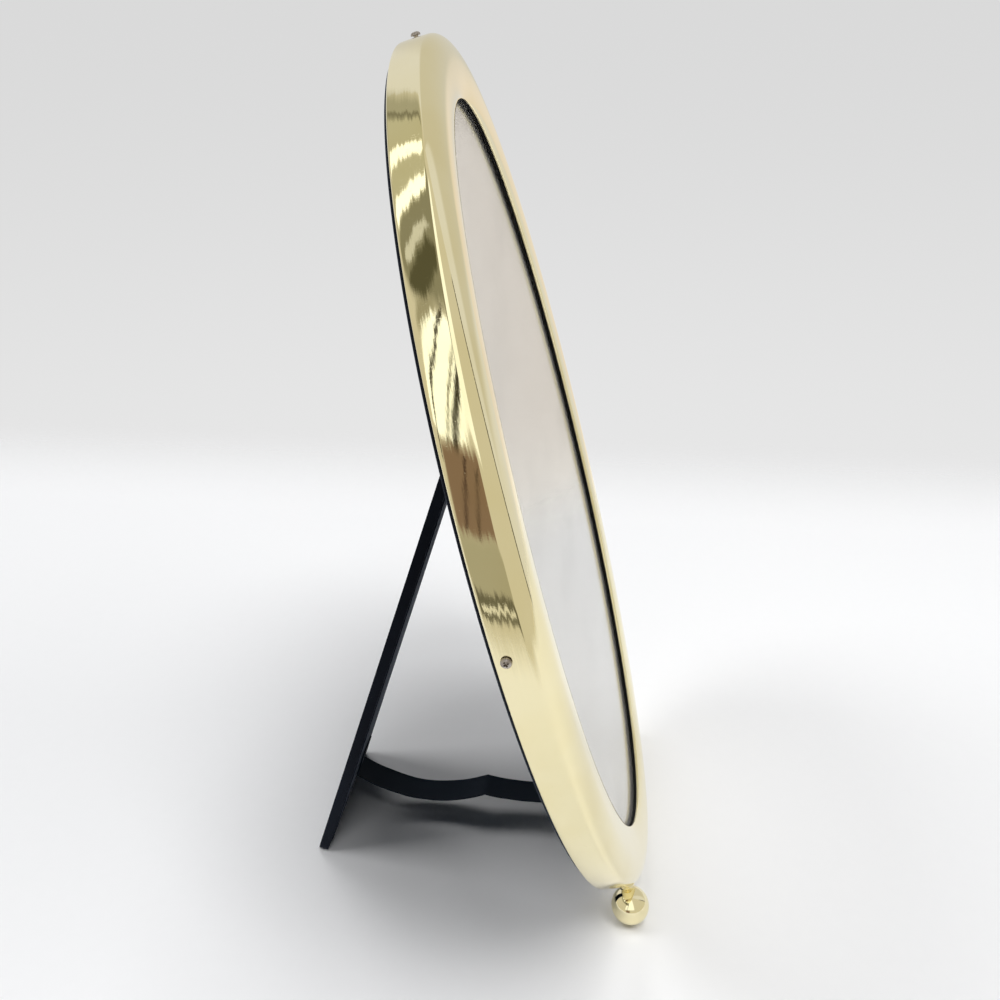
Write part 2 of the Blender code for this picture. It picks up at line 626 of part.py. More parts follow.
def build_hinge(parts, cutters, pin_space, strut_space, steel):
    """Make the butt hinge: two leaves, the pin and four rivets."""
    board_leaf = hinge_leaf("hinge_leaf_board", 1, parts, cutters, pin_space)
    strut_leaf = hinge_leaf("hinge_leaf_strut", -1, parts, cutters, strut_space)

    along_x = Matrix.Rotation(QUARTER_TURN, 4, "Y")
    end = HINGE_WIDTH / 2 + SEAT_GAP
    half_profile = [(HINGE_PIN_HEAD_RADIUS, end + HINGE_PIN_HEAD_LENGTH / 2),
                    (HINGE_PIN_HEAD_RADIUS, end), (HINGE_PIN_RADIUS, end)]
    tip = end + HINGE_PIN_HEAD_LENGTH
    profile = [(0.0, tip)] + half_profile
    profile += [(radius, -height) for radius, height in reversed(half_profile)] + [(0.0, -tip)]
    finish_piece(turned("hinge_pin", profile, parts, pin_space, along_x), steel, SMOOTH_ANGLE)

    hole_radius = RIVET_SHANK_RADIUS + SCREW_CLEARANCE
    rivet_holes = []
    for name, x, y in rivet_places(1):
        matrix = Matrix.Translation((x, y, 0.0))
        seat = LEAF_BACK - SEAT_GAP
        tip = seat + RIVET_BOARD_REACH
        hole = rod("rivet_hole_board_" + name, hole_radius, seat - FIT_GAP, tip + FIT_GAP,
                   cutters, pin_space, matrix)
        rivet_holes.append(make_cutter(hole))
        cut(board_leaf, hole)
        head = [(radius, 2 * seat - height)
                for radius, height in domed_head(RIVET_HEAD_RADIUS, RIVET_HEAD_HEIGHT, seat)]
        profile = [(0.0, tip), (RIVET_SHANK_RADIUS, tip), (RIVET_SHANK_RADIUS, seat)] + head
        rivet = turned("hinge_rivet_board_" + name, profile, parts, pin_space, matrix)
        finish_piece(rivet, steel, SMOOTH_ANGLE)

    strut_holes = []
    for name, x, y in rivet_places(-1):
        matrix = Matrix.Translation((x, y, 0.0))
        flush = LEAF_FRONT - SEAT_GAP / 2
        sink = RIVET_HEAD_RADIUS - RIVET_SHANK_RADIUS
        neck = flush - min(sink, HINGE_LEAF_THICKNESS) / 2
        seat = STRUT_BACK - SEAT_GAP
        wide = RIVET_HEAD_RADIUS - sink / 3
        countersink = turned("countersink_" + name,
                             [(0.0, LEAF_FRONT + FIT_GAP), (wide + SEAT_GAP, LEAF_FRONT + FIT_GAP),
                              (wide + SEAT_GAP, flush - SEAT_GAP / 2), (hole_radius, neck - SEAT_GAP / 2),
                              (hole_radius, seat - FIT_GAP), (0.0, seat - FIT_GAP)],
                             cutters, strut_space, matrix)
        cut(strut_leaf, make_cutter(countersink))
        strut_holes.append(countersink)
        head = [(radius, 2 * seat - height)
                for radius, height in domed_head(RIVET_HEAD_RADIUS, RIVET_HEAD_HEIGHT, seat)]
        profile = [(0.0, flush), (wide, flush), (RIVET_SHANK_RADIUS, neck), (RIVET_SHANK_RADIUS, seat)]
        rivet = turned("hinge_rivet_strut_" + name, profile + head, parts, strut_space, matrix)
        finish_piece(rivet, steel, SMOOTH_ANGLE)

    finish_piece(board_leaf, steel, SMOOTH_ANGLE)
    finish_piece(strut_leaf, steel, SMOOTH_ANGLE)
    return rivet_holes, strut_holes


def build_strut(parts, cutters, space, materials, holes):
    """Make the strut: a board in a velvet wrap, with a lining on its inner face."""
    wrap = STRUT_VELVET_THICKNESS
    inset = STRUT_BOARD_INSET
    foot_cut = foot_reach(STRUT_BACK) + SEAT_GAP - foot_reach(STRUT_BOARD_FRONT)
    foot_wall = foot_cut + STRUT_FOOT_WRAP
    velvet = slab("strut_velvet", strut_outline((0.0, 0.0, 0.0, 0.0)),
                  STRUT_BACK, STRUT_BOARD_FRONT, parts, space)
    round_rear_edge(velvet, STRUT_VELVET_ROUND)
    pocket = slab("strut_velvet_pocket", strut_outline((foot_wall, wrap, wrap, wrap)),
                  STRUT_VELVET_FRONT, STRUT_BOARD_FRONT + FIT_GAP, cutters, space)
    cut(velvet, make_cutter(pocket))

    board = slab("strut_board", strut_outline((foot_wall + STACK_GAP, inset, inset, inset)),
                 STRUT_BOARD_BACK, STRUT_BOARD_FRONT, parts, space)
    margin = STRUT_LINING_MARGIN
    lining = slab("strut_lining", strut_outline((foot_wall + margin, margin, margin, margin)),
                  LINING_BACK, LINING_FRONT, parts, space)
    for hole in holes:
        cut(velvet, hole)
        cut(board, hole)
        cut(lining, hole)

    width = STRUT_FOOT_WIDTH
    reach = OUTER_HEIGHT
    floor = block("floor_cut", (-width, -reach, -reach), (width, reach, 0.0), cutters, None)
    cut(velvet, make_cutter(floor))
    finish_piece(velvet, materials["velvet"])
    finish_piece(board, materials["hardboard"])
    finish_piece(lining, materials["lining"])


def ribbon_route():
    """Return the ribbon's line in a plane of constant X, as Y and Z of frame space.

    It is glued to the back, hangs in two loose lobes with the crease of its fold between
    them, and is glued to the inner face of the strut.
    """
    half = RIBBON_THICKNESS / 2
    board_level = VELVET_REAR - FIT_GAP - half
    strut_level = LINING_FRONT + FIT_GAP + half
    pin = Vector((HINGE_HEIGHT, HINGE_LEVEL))
    turn = Matrix.Rotation(STRUT_OPEN, 2)
    board_end = Vector((HINGE_HEIGHT - RIBBON_REACH, board_level))
    board_tab = board_end + Vector((RIBBON_TAB, 0.0))
    strut_end = pin + turn @ Vector((-RIBBON_REACH, strut_level))
    strut_tab = pin + turn @ Vector((RIBBON_TAB - RIBBON_REACH, strut_level))
    down = Vector((-math.cos(LEAN), -math.sin(LEAN)))
    crease = board_end.lerp(strut_end, RIBBON_CREASE_SHARE) + down * RIBBON_CREASE_DROP
    lobes = ((board_end, crease, RIBBON_BOARD_LOBE), (crease, strut_end, RIBBON_STRUT_LOBE))
    points = [board_tab]
    for start, end, sag in lobes:
        for index in range(LOBE_STEPS):
            share = index / LOBE_STEPS
            points.append(start.lerp(end, share) + down * sag * 4 * share * (1 - share))
    return points + [strut_end, strut_tab]


def build_ribbon(parts, space, satin):
    """Make the flat ribbon that keeps the strut from sliding out."""
    ribbon = curve_object("ribbon", ribbon_route(), cyclic=False)
    ribbon.data.fill_mode = "NONE"
    ribbon.data.extrude = RIBBON_WIDTH / 2
    # The curve's X and Y are frame space Y and Z, and its Z is X
    place(ribbon, parts, space, Matrix(((0, 0, 1, 0), (1, 0, 0, 0), (0, 1, 0, 0), (0, 0, 0, 1))))
    strip = curve_to_mesh(ribbon, parts)
    solid = strip.modifiers.new("thickness", "SOLIDIFY")
    solid.thickness = RIBBON_THICKNESS
    solid.offset = 0.0
    finish_piece(strip, satin, 60.0)


def build_spaces(parts):
    """Make the empties that carry the leaning frame, the hinge pin and the open strut."""
    origin = bpy.data.objects.new("frame_axes", None)
    place(origin, parts)
    origin.location = (0.0, -depth_centre(), centre_height())
    origin.rotation_euler = (math.pi / 2 - LEAN, 0.0, 0.0)
    pin = bpy.data.objects.new("hinge_axis", None)
    place(pin, parts, origin, Matrix.Translation((0.0, HINGE_HEIGHT, HINGE_LEVEL)))
    strut = bpy.data.objects.new("strut_axis", None)
    place(strut, parts, pin, Matrix.Rotation(STRUT_OPEN, 4, "X"))
    bpy.context.view_layer.update()
    return origin, pin, strut


def main():
    """Build the picture frame."""
    for obj in list(bpy.data.objects):
        bpy.data.objects.remove(obj)
    parts = bpy.data.collections.new("oval_picture_frame")
    cutters = bpy.data.collections.new("cutters")
    bpy.context.scene.collection.children.link(parts)
    bpy.context.scene.collection.children.link(cutters)

    brass = new_material("polished_brass", (0.82, 0.70, 0.38), 0.08, metallic=1.0)
    steel = new_material("zinc_plated_steel", (0.62, 0.62, 0.60), 0.3, metallic=1.0)
    materials = {
        "glass": new_material("window_glass", (0.95, 0.97, 0.96), 0.02, transmission=1.0),
        "paper": new_material("blank_paper", (0.82, 0.82, 0.81), 0.7),
        "card": new_material("grey_card", (0.42, 0.40, 0.37), 0.9),
        "hardboard": new_material("hardboard", (0.22, 0.13, 0.07), 0.8),
        "velvet": new_material("navy_velvet", (0.012, 0.013, 0.022), 0.95),
        "lining": new_material("navy_lining_cloth", (0.015, 0.017, 0.028), 0.9),
    }
    satin = new_material("navy_ribbon", (0.013, 0.015, 0.03), 0.6)

    frame_space, pin_space, strut_space = build_spaces(parts)
    rim_holes = build_rim_holes(cutters, frame_space)
    rivet_holes, strut_holes = build_hinge(parts, cutters, pin_space, strut_space, steel)
    build_bezel(parts, frame_space, brass, rim_holes)
    build_stack(parts, cutters, frame_space, materials, rim_holes, rivet_holes)
    build_rim_screws(parts, cutters, frame_space, steel)
    build_feet(parts, frame_space, brass, steel)
    build_strut(parts, cutters, strut_space, materials, strut_holes)
    build_ribbon(parts, frame_space, satin)


main()
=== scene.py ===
"""Looks of an oval brass picture frame on ball feet, with a velvet back and an easel strut.

World axes: +X to the viewer's right, +Y to the back, +Z up, floor at Z = 0, in metres.
Frame space: X as in the world, Y up the leaning frame, Z towards the viewer, origin in the
middle of the oval on the plane of the bezel's rear edge. Pin space and strut space have
their origin on the hinge pin; strut space turns with the open strut.
"""

import json
import logging
import math
from collections.abc import Iterable, Sequence
from dataclasses import dataclass, field
from enum import Enum
from itertools import accumulate, pairwise
from typing import Any

import bmesh
import bpy
from mathutils import Matrix, Vector, noise


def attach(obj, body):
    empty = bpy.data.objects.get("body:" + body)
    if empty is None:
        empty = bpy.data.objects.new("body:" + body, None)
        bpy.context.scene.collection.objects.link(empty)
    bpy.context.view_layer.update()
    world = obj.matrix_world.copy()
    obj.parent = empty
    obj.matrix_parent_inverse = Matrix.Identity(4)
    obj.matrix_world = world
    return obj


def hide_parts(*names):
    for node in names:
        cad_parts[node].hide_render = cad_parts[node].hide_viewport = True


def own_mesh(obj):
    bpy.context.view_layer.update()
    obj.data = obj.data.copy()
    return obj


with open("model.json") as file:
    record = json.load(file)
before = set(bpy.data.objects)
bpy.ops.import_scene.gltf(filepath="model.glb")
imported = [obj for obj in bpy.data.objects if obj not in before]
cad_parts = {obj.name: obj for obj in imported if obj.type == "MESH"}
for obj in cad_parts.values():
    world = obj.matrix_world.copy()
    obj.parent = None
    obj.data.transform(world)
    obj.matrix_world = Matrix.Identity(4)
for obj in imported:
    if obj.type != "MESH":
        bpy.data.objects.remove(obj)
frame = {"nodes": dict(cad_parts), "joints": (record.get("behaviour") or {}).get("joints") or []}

MM = 0.001
FULL_TURN = 2 * math.pi
HALF_TURN = math.pi
QUARTER_TURN = math.pi / 2
UPRIGHT_DEG = 90.0
SHARP_DEG = 40.0
RING_SHARP_DEG = 50.0
RIBBON_SHARP_DEG = 60.0
BEVEL_FROM_DEG = 50.0
MERGE_WITHIN = 1e-7
LEAST_RADIUS = 0.1 * MM
CUTTER_OVERHANG = 10.0 * MM
ACROSS = "across"
MIX_FIRST, MIX_SECOND, MIX_RESULT = 6, 7, 2
LOG = logging.getLogger("oval_picture_frame")

Point = tuple[float, float]
Place = tuple[float, float, float]
Colour = tuple[float, float, float]
Faces = list[tuple[int, ...]]
Piece = bpy.types.Object
Material = bpy.types.Material
Output = bpy.types.NodeSocket


class Body(Enum):
    """The two bodies that the hinge joins."""

    FRAME = "frame"
    STRUT = "strut"


class Slot(Enum):
    """Material slots of the record."""

    BRASS = "polished_brass"
    STEEL = "plated_steel"
    VELVET = "navy_velvet"
    LINING = "navy_lining_cloth"
    RIBBON = "navy_ribbon"


class Side(Enum):
    """Left and right as the viewer sees them."""

    LEFT = "left"
    RIGHT = "right"

    @property
    def sign(self) -> int:
        """Direction of the side along X."""
        return -1 if self is Side.LEFT else 1


class Leaf(Enum):
    """The hinge's two leaves, by what each is riveted to."""

    BOARD = "board"
    STRUT = "strut"

    @property
    def sign(self) -> int:
        """Direction of the leaf along Y, seen from the pin."""
        return 1 if self is Leaf.BOARD else -1

    @property
    def body(self) -> Body:
        """Body that the leaf rides on."""
        return Body.FRAME if self is Leaf.BOARD else Body.STRUT


class Carving(Enum):
    """What is done to a piece with others."""

    CUT = "DIFFERENCE"
    JOIN = "UNION"


@dataclass(frozen=True)
class Oval:
    """The bezel's outer oval."""

    width: float = 148.4 * MM
    height: float = 200.0 * MM

    def at(self, turn: float, inset: float = 0.0) -> tuple[Vector, Vector]:
        """Find a point of the oval moved inwards, and the outward direction there.

        Args:
            turn: Angle of the ellipse's own parameter, from +X.
            inset: How far inside the outer oval the point lies.

        Returns:
            The point and the unit outward direction, both in the plane of the oval.
        """
        half_width = self.width / 2
        half_height = self.height / 2
        point = Vector((half_width * math.cos(turn), half_height * math.sin(turn)))
        outward = Vector((math.cos(turn) / half_width, math.sin(turn) / half_height)).normalized()
        return point - outward * inset, outward

    def wall_space(self, turn_deg: float, level: float) -> Matrix:
        """Find a place on the rim's side wall, with its own Z pointing out of the wall.

        Args:
            turn_deg: Angle of the ellipse's own parameter, from +X.
            level: Height above the rear edge.

        Returns:
            The place in frame space.
        """
        point, outward = self.at(math.radians(turn_deg))
        axis_z = Vector((*outward, 0.0))
        axis_y = Vector((0.0, 0.0, 1.0))
        matrix = Matrix((axis_y.cross(axis_z), axis_y, axis_z)).transposed().to_4x4()
        matrix.translation = (*point, level)
        return matrix


@dataclass(frozen=True)
class Stance:
    """How the frame leans and how far the strut stands open."""

    lean_deg: float = 15.0
    open_deg: float = 33.1
    hinge_height: float = 31.1 * MM
    hinge_level: float = -2.7 * MM

    def pin_space(self) -> Matrix:
        """Place of the hinge pin, turned as the frame leans."""
        tilt = Matrix.Rotation(math.radians(UPRIGHT_DEG - self.lean_deg), 4, "X")
        return Matrix.Translation(Vector(frame["joints"][0]["pos_m"])) @ tilt

    def frame_space(self) -> Matrix:
        """Place of the middle of the oval."""
        return self.pin_space() @ Matrix.Translation((0, -self.hinge_height, -self.hinge_level))

    def strut_space(self) -> Matrix:
        """Place of the pin, turned as the open strut."""
        return self.pin_space() @ Matrix.Rotation(math.radians(self.open_deg), 4, "X")

    def foot_reach(self, level: float) -> float:
        """Distance down the strut from the pin to the floor, at a level of strut space."""
        slope = math.radians(self.open_deg - self.lean_deg)
        return (self.pin_space().translation.z - level * math.sin(slope)) / math.cos(slope)


def turns(steps: int) -> list[float]:
    """List even angles all the way round."""
    return [FULL_TURN * index / steps for index in range(steps)]


def arc(centre: Point, radii: Point, start: float, end: float, steps: int) -> list[Point]:
    """Make points of an elliptical arc.

    Args:
        centre: Middle of the ellipse.
        radii: Its half axes.
        start: Angle of the first point.
        end: Angle of the last point.
        steps: Straight pieces that stand for the arc.

    Returns:
        The points, both ends included.
    """
    angles = [start + (end - start) * index / steps for index in range(steps + 1)]
    return [(centre[0] + radii[0] * math.cos(angle), centre[1] + radii[1] * math.sin(angle))
            for angle in angles]


def grid_faces(rows: int, columns: int, wrap_rows: bool, wrap_columns: bool) -> Faces:
    """Make the quads of a grid of vertices.

    Args:
        rows: Number of rows.
        columns: Vertices in each row.
        wrap_rows: Join the last row to the first.
        wrap_columns: Join the last column to the first.

    Returns:
        Vertex numbers of each quad.
    """
    faces = []
    for row in range(rows if wrap_rows else rows - 1):
        for column in range(columns if wrap_columns else columns - 1):
            near, far = row * columns, (row + 1) % rows * columns
            following = (column + 1) % columns
            faces.append((near + column, near + following, far + following, far + column))
    return faces


def tube_faces(rows: int, columns: int) -> Faces:
    """Make the quads of a tube of rings of vertices, with a cap on each end.

    Args:
        rows: Number of rings.
        columns: Vertices in each ring.

    Returns:
        Vertex numbers of each face.
    """
    last = (rows - 1) * columns
    caps = [tuple(range(columns)), tuple(range(last, last + columns))]
    return grid_faces(rows, columns, False, True) + caps


def prism_faces(count: int) -> Faces:
    """Make the caps and the sides between two outlines.

    Args:
        count: Points in each outline.

    Returns:
        Vertex numbers of each face.
    """
    sides = [(index, (index + 1) % count, (index + 1) % count + count, index + count)
             for index in range(count)]
    return [tuple(range(count)), tuple(range(count, 2 * count)), *sides]


def shade(mesh: bpy.types.Mesh, sharp_deg: float = SHARP_DEG) -> None:
    """Shade a mesh smooth, but for edges sharper than a limit."""
    mesh.shade_smooth()
    mesh.set_sharp_from_angle(angle=math.radians(sharp_deg))


def placed(name: str, data: bpy.types.ID) -> Piece:
    """Make an object of some data and link it to the scene.

    Args:
        name: The object's name.
        data: Its mesh, lamp or camera.

    Returns:
        The object.
    """
    thing = bpy.data.objects.new(name, data)
    bpy.context.scene.collection.objects.link(thing)
    return thing


def make_piece(name: str, vertices: Sequence[Sequence[float]], faces: Faces, space: Matrix,
               sharp_deg: float = SHARP_DEG, across: Sequence[float] = ()) -> Piece:
    """Make a mesh object in a space of the frame.

    Args:
        name: The piece's name.
        vertices: Places in the space.
        faces: Vertex numbers of each face.
        space: The space's place in the world.
        sharp_deg: Edges sharper than this stay sharp.
        across: Distance along the section at each vertex, for grain that follows it.

    Returns:
        The new object, linked to the scene.
    """
    mesh = bpy.data.meshes.new(name)
    mesh.from_pydata([tuple(vertex) for vertex in vertices], [], faces)
    if across:
        attribute = mesh.attributes.new(ACROSS, "FLOAT", "POINT")
        attribute.data.foreach_set("value", list(across))
    builder = bmesh.new()
    builder.from_mesh(mesh)
    bmesh.ops.remove_doubles(builder, verts=builder.verts, dist=MERGE_WITHIN)
    bmesh.ops.recalc_face_normals(builder, faces=builder.faces)
    builder.to_mesh(mesh)
    builder.free()
    shade(mesh, sharp_deg)
    piece = placed(name, mesh)
    piece.matrix_world = space
    return piece


def section_lengths(section: Sequence[Point]) -> list[float]:
    """Measure the distance along a section up to each of its points."""
    return [0.0, *accumulate(math.dist(first, second) for first, second in pairwise(section))]


def ring_piece(name: str, oval: Oval, section: Sequence[Point], steps: int,
               space: Matrix) -> Piece:
    """Carry a closed section round the oval.

    Args:
        name: The piece's name.
        oval: The outer oval.
        section: Inset and level of each point of the section.
        steps: Places of the section round the oval.
        space: The oval's place in the world.

    Returns:
        The ring.
    """
    vertices = [(*oval.at(turn, inset)[0], level)
                for turn in turns(steps) for inset, level in section]
    faces = grid_faces(steps, len(section), True, True)
    return make_piece(name, vertices, faces, space, RING_SHARP_DEG,
                      section_lengths(section) * steps)


def turned_piece(name: str, profile: Sequence[Point], steps: int, space: Matrix,
                 closed: bool = False) -> Piece:
    """Spin a profile round the local Z axis.

    Args:
        name: The piece's name.
        profile: Radius and height of each point.
        steps: Places of the profile round the axis.
        space: The axis's place in the world.
        closed: Join the profile's last point to its first.

    Returns:
        The turned piece.
    """
    vertices = [(radius * math.cos(turn), radius * math.sin(turn), height)
                for turn in turns(steps) for radius, height in profile]
    faces = grid_faces(steps, len(profile), True, closed)
    return make_piece(name, vertices, faces, space, across=section_lengths(profile) * steps)


def settle(piece: Piece) -> None:
    """Write a piece's modifiers into its mesh and shade it.

    Args:
        piece: The piece with the modifiers.
    """
    bpy.context.view_layer.update()
    graph = bpy.context.evaluated_depsgraph_get()
    mesh = bpy.data.meshes.new_from_object(piece.evaluated_get(graph),
                                           preserve_all_data_layers=True, depsgraph=graph)
    spent = piece.data
    piece.modifiers.clear()
    piece.data = mesh
    mesh.name = piece.name
    bpy.data.meshes.remove(spent)
    shade(mesh)


def round_edges(piece: Piece, width: float, segments: int = 3) -> None:
    """Round over the sharp edges of a piece.

    Args:
        piece: The piece.
        width: How far from the edge the rounding starts.
        segments: Straight pieces that stand for the rounding.
    """
    modifier = piece.modifiers.new("rounded", "BEVEL")
    modifier.limit_method = "ANGLE"
    modifier.angle_limit = math.radians(BEVEL_FROM_DEG)
    modifier.width = width
    modifier.segments = segments
    settle(piece)


def carve(piece: Piece, others: Iterable[Piece], carving: Carving = Carving.CUT) -> None:
    """Cut other pieces out of one, or join them to it, and remove them.

    Args:
        piece: The piece that stays.
        others: The pieces that are used up.
        carving: What is done with them.
    """
    spent = list(others)
    for other in spent:
        modifier = piece.modifiers.new("carve", "BOOLEAN")
        modifier.operation = carving.value
        modifier.object = other
        modifier.solver = "EXACT"
    settle(piece)
    for other in spent:
        bpy.data.objects.remove(other)


def plate_piece(name: str, outline: Sequence[Point], low: float, high: float, space: Matrix,
                edge: float = 0.0) -> Piece:
    """Make a plate of an outline between two levels.

    Args:
        name: The piece's name.
        outline: X and Y of each point of the outline.
        low: Level of its lower face.
        high: Level of its upper face.
        space: The space that these are given in.
        edge: How far in its edges are rounded over.

    Returns:
        The plate.
    """
    vertices = [(x, y, level) for level in (low, high) for x, y in outline]
    piece = make_piece(name, vertices, prism_faces(len(outline)), space)
    if edge > 0:
        round_edges(piece, edge)
    return piece


def box_outline(low: Point, high: Point) -> list[Point]:
    """Make the corners of an upright rectangle."""
    return [(low[0], low[1]), (high[0], low[1]), (high[0], high[1]), (low[0], high[1])]


def rounded_outline(corners: Sequence[Point], radii: Sequence[float],
                    insets: Sequence[float] = (0.0,) * 4, steps: int = 10) -> list[Point]:
    """Round the corners of a convex outline and move its sides inwards.

    Args:
        corners: Corners, counter-clockwise. Side i goes from corner i to the next one.
        radii: Radius of each corner before the sides move in.
        insets: How far each side moves in.
        steps: Straight pieces that stand for each round corner.

    Returns:
        The points of the outline.
    """
    lines = []
    for index, corner in enumerate(corners):
        start = Vector(corner)
        along = (Vector(corners[(index + 1) % len(corners)]) - start).normalized()
        lines.append((start + Vector((-along.y, along.x)) * insets[index], along))
    outline: list[Point] = []
    for index, (point_b, along_b) in enumerate(lines):
        point_a, along_a = lines[index - 1]
        cross = along_a.x * along_b.y - along_a.y * along_b.x
        gap = point_b - point_a
        corner = point_a + along_a * ((gap.x * along_b.y - gap.y * along_b.x) / cross)
        bend = math.atan2(cross, along_a.dot(along_b))
        radius = max(radii[index] - max(insets[index - 1], insets[index]), LEAST_RADIUS)
        first = corner - along_a * radius * math.tan(bend / 2)
        centre = first + Vector((-along_a.y, along_a.x)) * radius
        start_angle = math.atan2(first.y - centre.y, first.x - centre.x)
        outline += arc(tuple(centre), (radius, radius), start_angle, start_angle + bend, steps)
    return outline


def dress(piece: Piece, material: Material, body: Body,
          stands_for: Sequence[str] = ()) -> Piece:
    """Give a piece its finish and its body.

    Args:
        piece: The piece, whose mesh then moves to world space.
        material: Its finish.
        body: The body that it rides on.
        stands_for: Names of the solids that it replaces.

    Returns:
        The piece.
    """
    piece.data.transform(piece.matrix_world)
    piece.matrix_world = Matrix.Identity(4)
    piece.data.materials.clear()
    piece.data.materials.append(material)
    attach(piece, body.value)
    if stands_for:
        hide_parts(*stands_for)
    return piece


@dataclass(frozen=True)
class Grain:
    """Noise of a scale and a detail, packed closer along some axes."""

    scale: float
    detail: float = 2.0
    packed: Place | None = None
    roughness: float = 0.5


@dataclass(frozen=True)
class Mottle:
    """Grain whose values from low to high are spread over the range from least to most."""

    grain: Grain
    low: float
    high: float
    least: float = 0.0
    most: float = 1.0


@dataclass(frozen=True)
class Lines:
    """Noise that changes fast across the section and slowly along the piece."""

    fine: float
    coarse: float
    detail: float
    roughness: float = 0.5


@dataclass(frozen=True)
class Specks:
    """Scattered specks, full strength in the core and gone at the rim."""

    scale: float
    core: float
    rim: float
    strength: float


class NodePen:
    """Adds and joins the nodes of one tree."""

    def __init__(self, tree: bpy.types.NodeTree, coordinates: str) -> None:
        """Start in a tree with one of Blender's kinds of coordinates."""
        self.tree = tree
        self.spot = self.join("ShaderNodeTexCoord", {}, coordinates)

    def feed(self, socket: Output, value: object) -> None:
        """Link a socket to an output, or set its own value.

        Args:
            socket: The socket.
            value: An output, a number, a vector, or a colour without its alpha.
        """
        if isinstance(value, Output):
            self.tree.links.new(value, socket)
        else:
            socket.default_value = (*value, 1.0) if socket.type == "RGBA" else value

    def add(self, kind: str, inputs: dict[str | int, object], **fields: object) -> bpy.types.Node:
        """Add a node.

        Args:
            kind: Blender's name of the node.
            inputs: What each of its sockets is fed.
            fields: Values of the node's own fields.

        Returns:
            The node.
        """
        node = self.tree.nodes.new(kind)
        for name, value in fields.items():
            setattr(node, name, value)
        for name, value in inputs.items():
            self.feed(node.inputs[name], value)
        return node

    def join(self, kind: str, inputs: dict[str | int, object], output: str | int = 0,
             **fields: object) -> Output:
        """Add a node and take one of its outputs."""
        return self.add(kind, inputs, **fields).outputs[output]

    def maths(self, operation: str, first: object, second: object = 0.0,
              clamp: bool = False) -> Output:
        """Join two numbers by an operation."""
        return self.join("ShaderNodeMath", {0: first, 1: second}, operation=operation,
                         use_clamp=clamp)

    def times(self, first: object, second: object) -> Output:
        """Multiply two numbers."""
        return self.maths("MULTIPLY", first, second)

    def vector(self, operation: str, first: object, second: object) -> Output:
        """Join two vectors by an operation."""
        return self.join("ShaderNodeVectorMath", {0: first, 1: second}, operation=operation)

    def parts(self, vector: Output) -> list[Output]:
        """Split a vector into its three numbers."""
        return list(self.add("ShaderNodeSeparateXYZ", {0: vector}).outputs)

    def tint(self, share: object, first: object, second: object) -> Output:
        """Mix two colours."""
        return self.join("ShaderNodeMix", {0: share, MIX_FIRST: first, MIX_SECOND: second},
                         MIX_RESULT, data_type="RGBA")

    def spread(self, value: Output, low: float, high: float, least: float = 0.0,
               most: float = 1.0) -> Output:
        """Spread a number from one range to another, smoothly and held at the ends.

        Args:
            value: The number.
            low: Start of its range.
            high: End of its range.
            least: What the start becomes.
            most: What the end becomes.

        Returns:
            The spread number.
        """
        inputs = {"Value": value, "From Min": low, "From Max": high, "To Min": least,
                  "To Max": most}
        return self.join("ShaderNodeMapRange", inputs, "Result", interpolation_type="SMOOTHSTEP")

    def within(self, value: Output, low: float, high: float, soft: float) -> Output:
        """Tell how far a number lies within limits that are softened."""
        return self.times(self.spread(value, low - soft, low + soft),
                          self.spread(value, high - soft, high + soft, 1.0, 0.0))


class NodeSheet(NodePen):
    """Adds and joins the nodes of one material."""

    def __init__(self, name: str) -> None:
        """Start a material, with its Principled shader.

        Args:
            name: The material's name.
        """
        self.material = bpy.data.materials.new(name)
        self.material.use_nodes = True
        super().__init__(self.material.node_tree, "Object")
        self.shader = self.tree.nodes["Principled BSDF"]

    def look(self, **values: object) -> None:
        """Feed sockets of the shader, named with underscores for spaces."""
        for name, value in values.items():
            self.feed(self.shader.inputs[name.replace("_", " ")], value)

    def noise(self, grain: Grain, vector: Output | None = None) -> Output:
        """Add the noise of a grain.

        Args:
            grain: The grain.
            vector: Where the noise is sampled, when it isn't the spot itself.

        Returns:
            Its value, from 0 to 1.
        """
        if vector is None:
            vector = self.spot
        if grain.packed:
            vector = self.vector("MULTIPLY", vector, grain.packed)
        inputs = {"Vector": vector, "Scale": grain.scale, "Detail": grain.detail,
                  "Roughness": grain.roughness}
        return self.join("ShaderNodeTexNoise", inputs, "Fac")

    def mottle(self, look: Mottle) -> Output:
        """Add the spread values of a grain."""
        return self.spread(self.noise(look.grain), look.low, look.high, look.least, look.most)

    def specks(self, look: Specks) -> Output:
        """Add scattered specks.

        Args:
            look: How many, how large and how strong they are.

        Returns:
            Their strength.
        """
        inputs = {"Vector": self.spot, "Scale": look.scale}
        cells = self.join("ShaderNodeTexVoronoi", inputs, "Distance")
        return self.spread(cells, look.core, look.rim, look.strength, 0.0)

    def across(self) -> Output:
        """Read the distance along the section."""
        return self.join("ShaderNodeAttribute", {}, "Fac", attribute_name=ACROSS)

    def lines(self, look: Lines) -> Output:
        """Add lines along the piece.

        Args:
            look: How fine and how even they are.

        Returns:
            Their value, from 0 to 1.
        """
        x, _, z = self.parts(self.spot)
        drawn = self.join("ShaderNodeCombineXYZ", {
            0: self.times(self.across(), look.fine),
            1: self.times(x, look.coarse),
            2: self.times(z, look.coarse)})
        return self.noise(Grain(1.0, look.detail, roughness=look.roughness), drawn)

    def relief(self, height: Output, depth: float, under: Output | None = None,
               strength: float = 1.0) -> Output:
        """Raise the surface by a height.

        Args:
            height: The height, from 0 to 1.
            depth: What a height of 1 measures.
            under: Another relief that lies below.
            strength: Share of the relief that shows.

        Returns:
            The normal.
        """
        inputs = {"Strength": strength, "Distance": depth, "Height": height}
        if under is not None:
            inputs["Normal"] = under
        return self.join("ShaderNodeBump", inputs, "Normal")


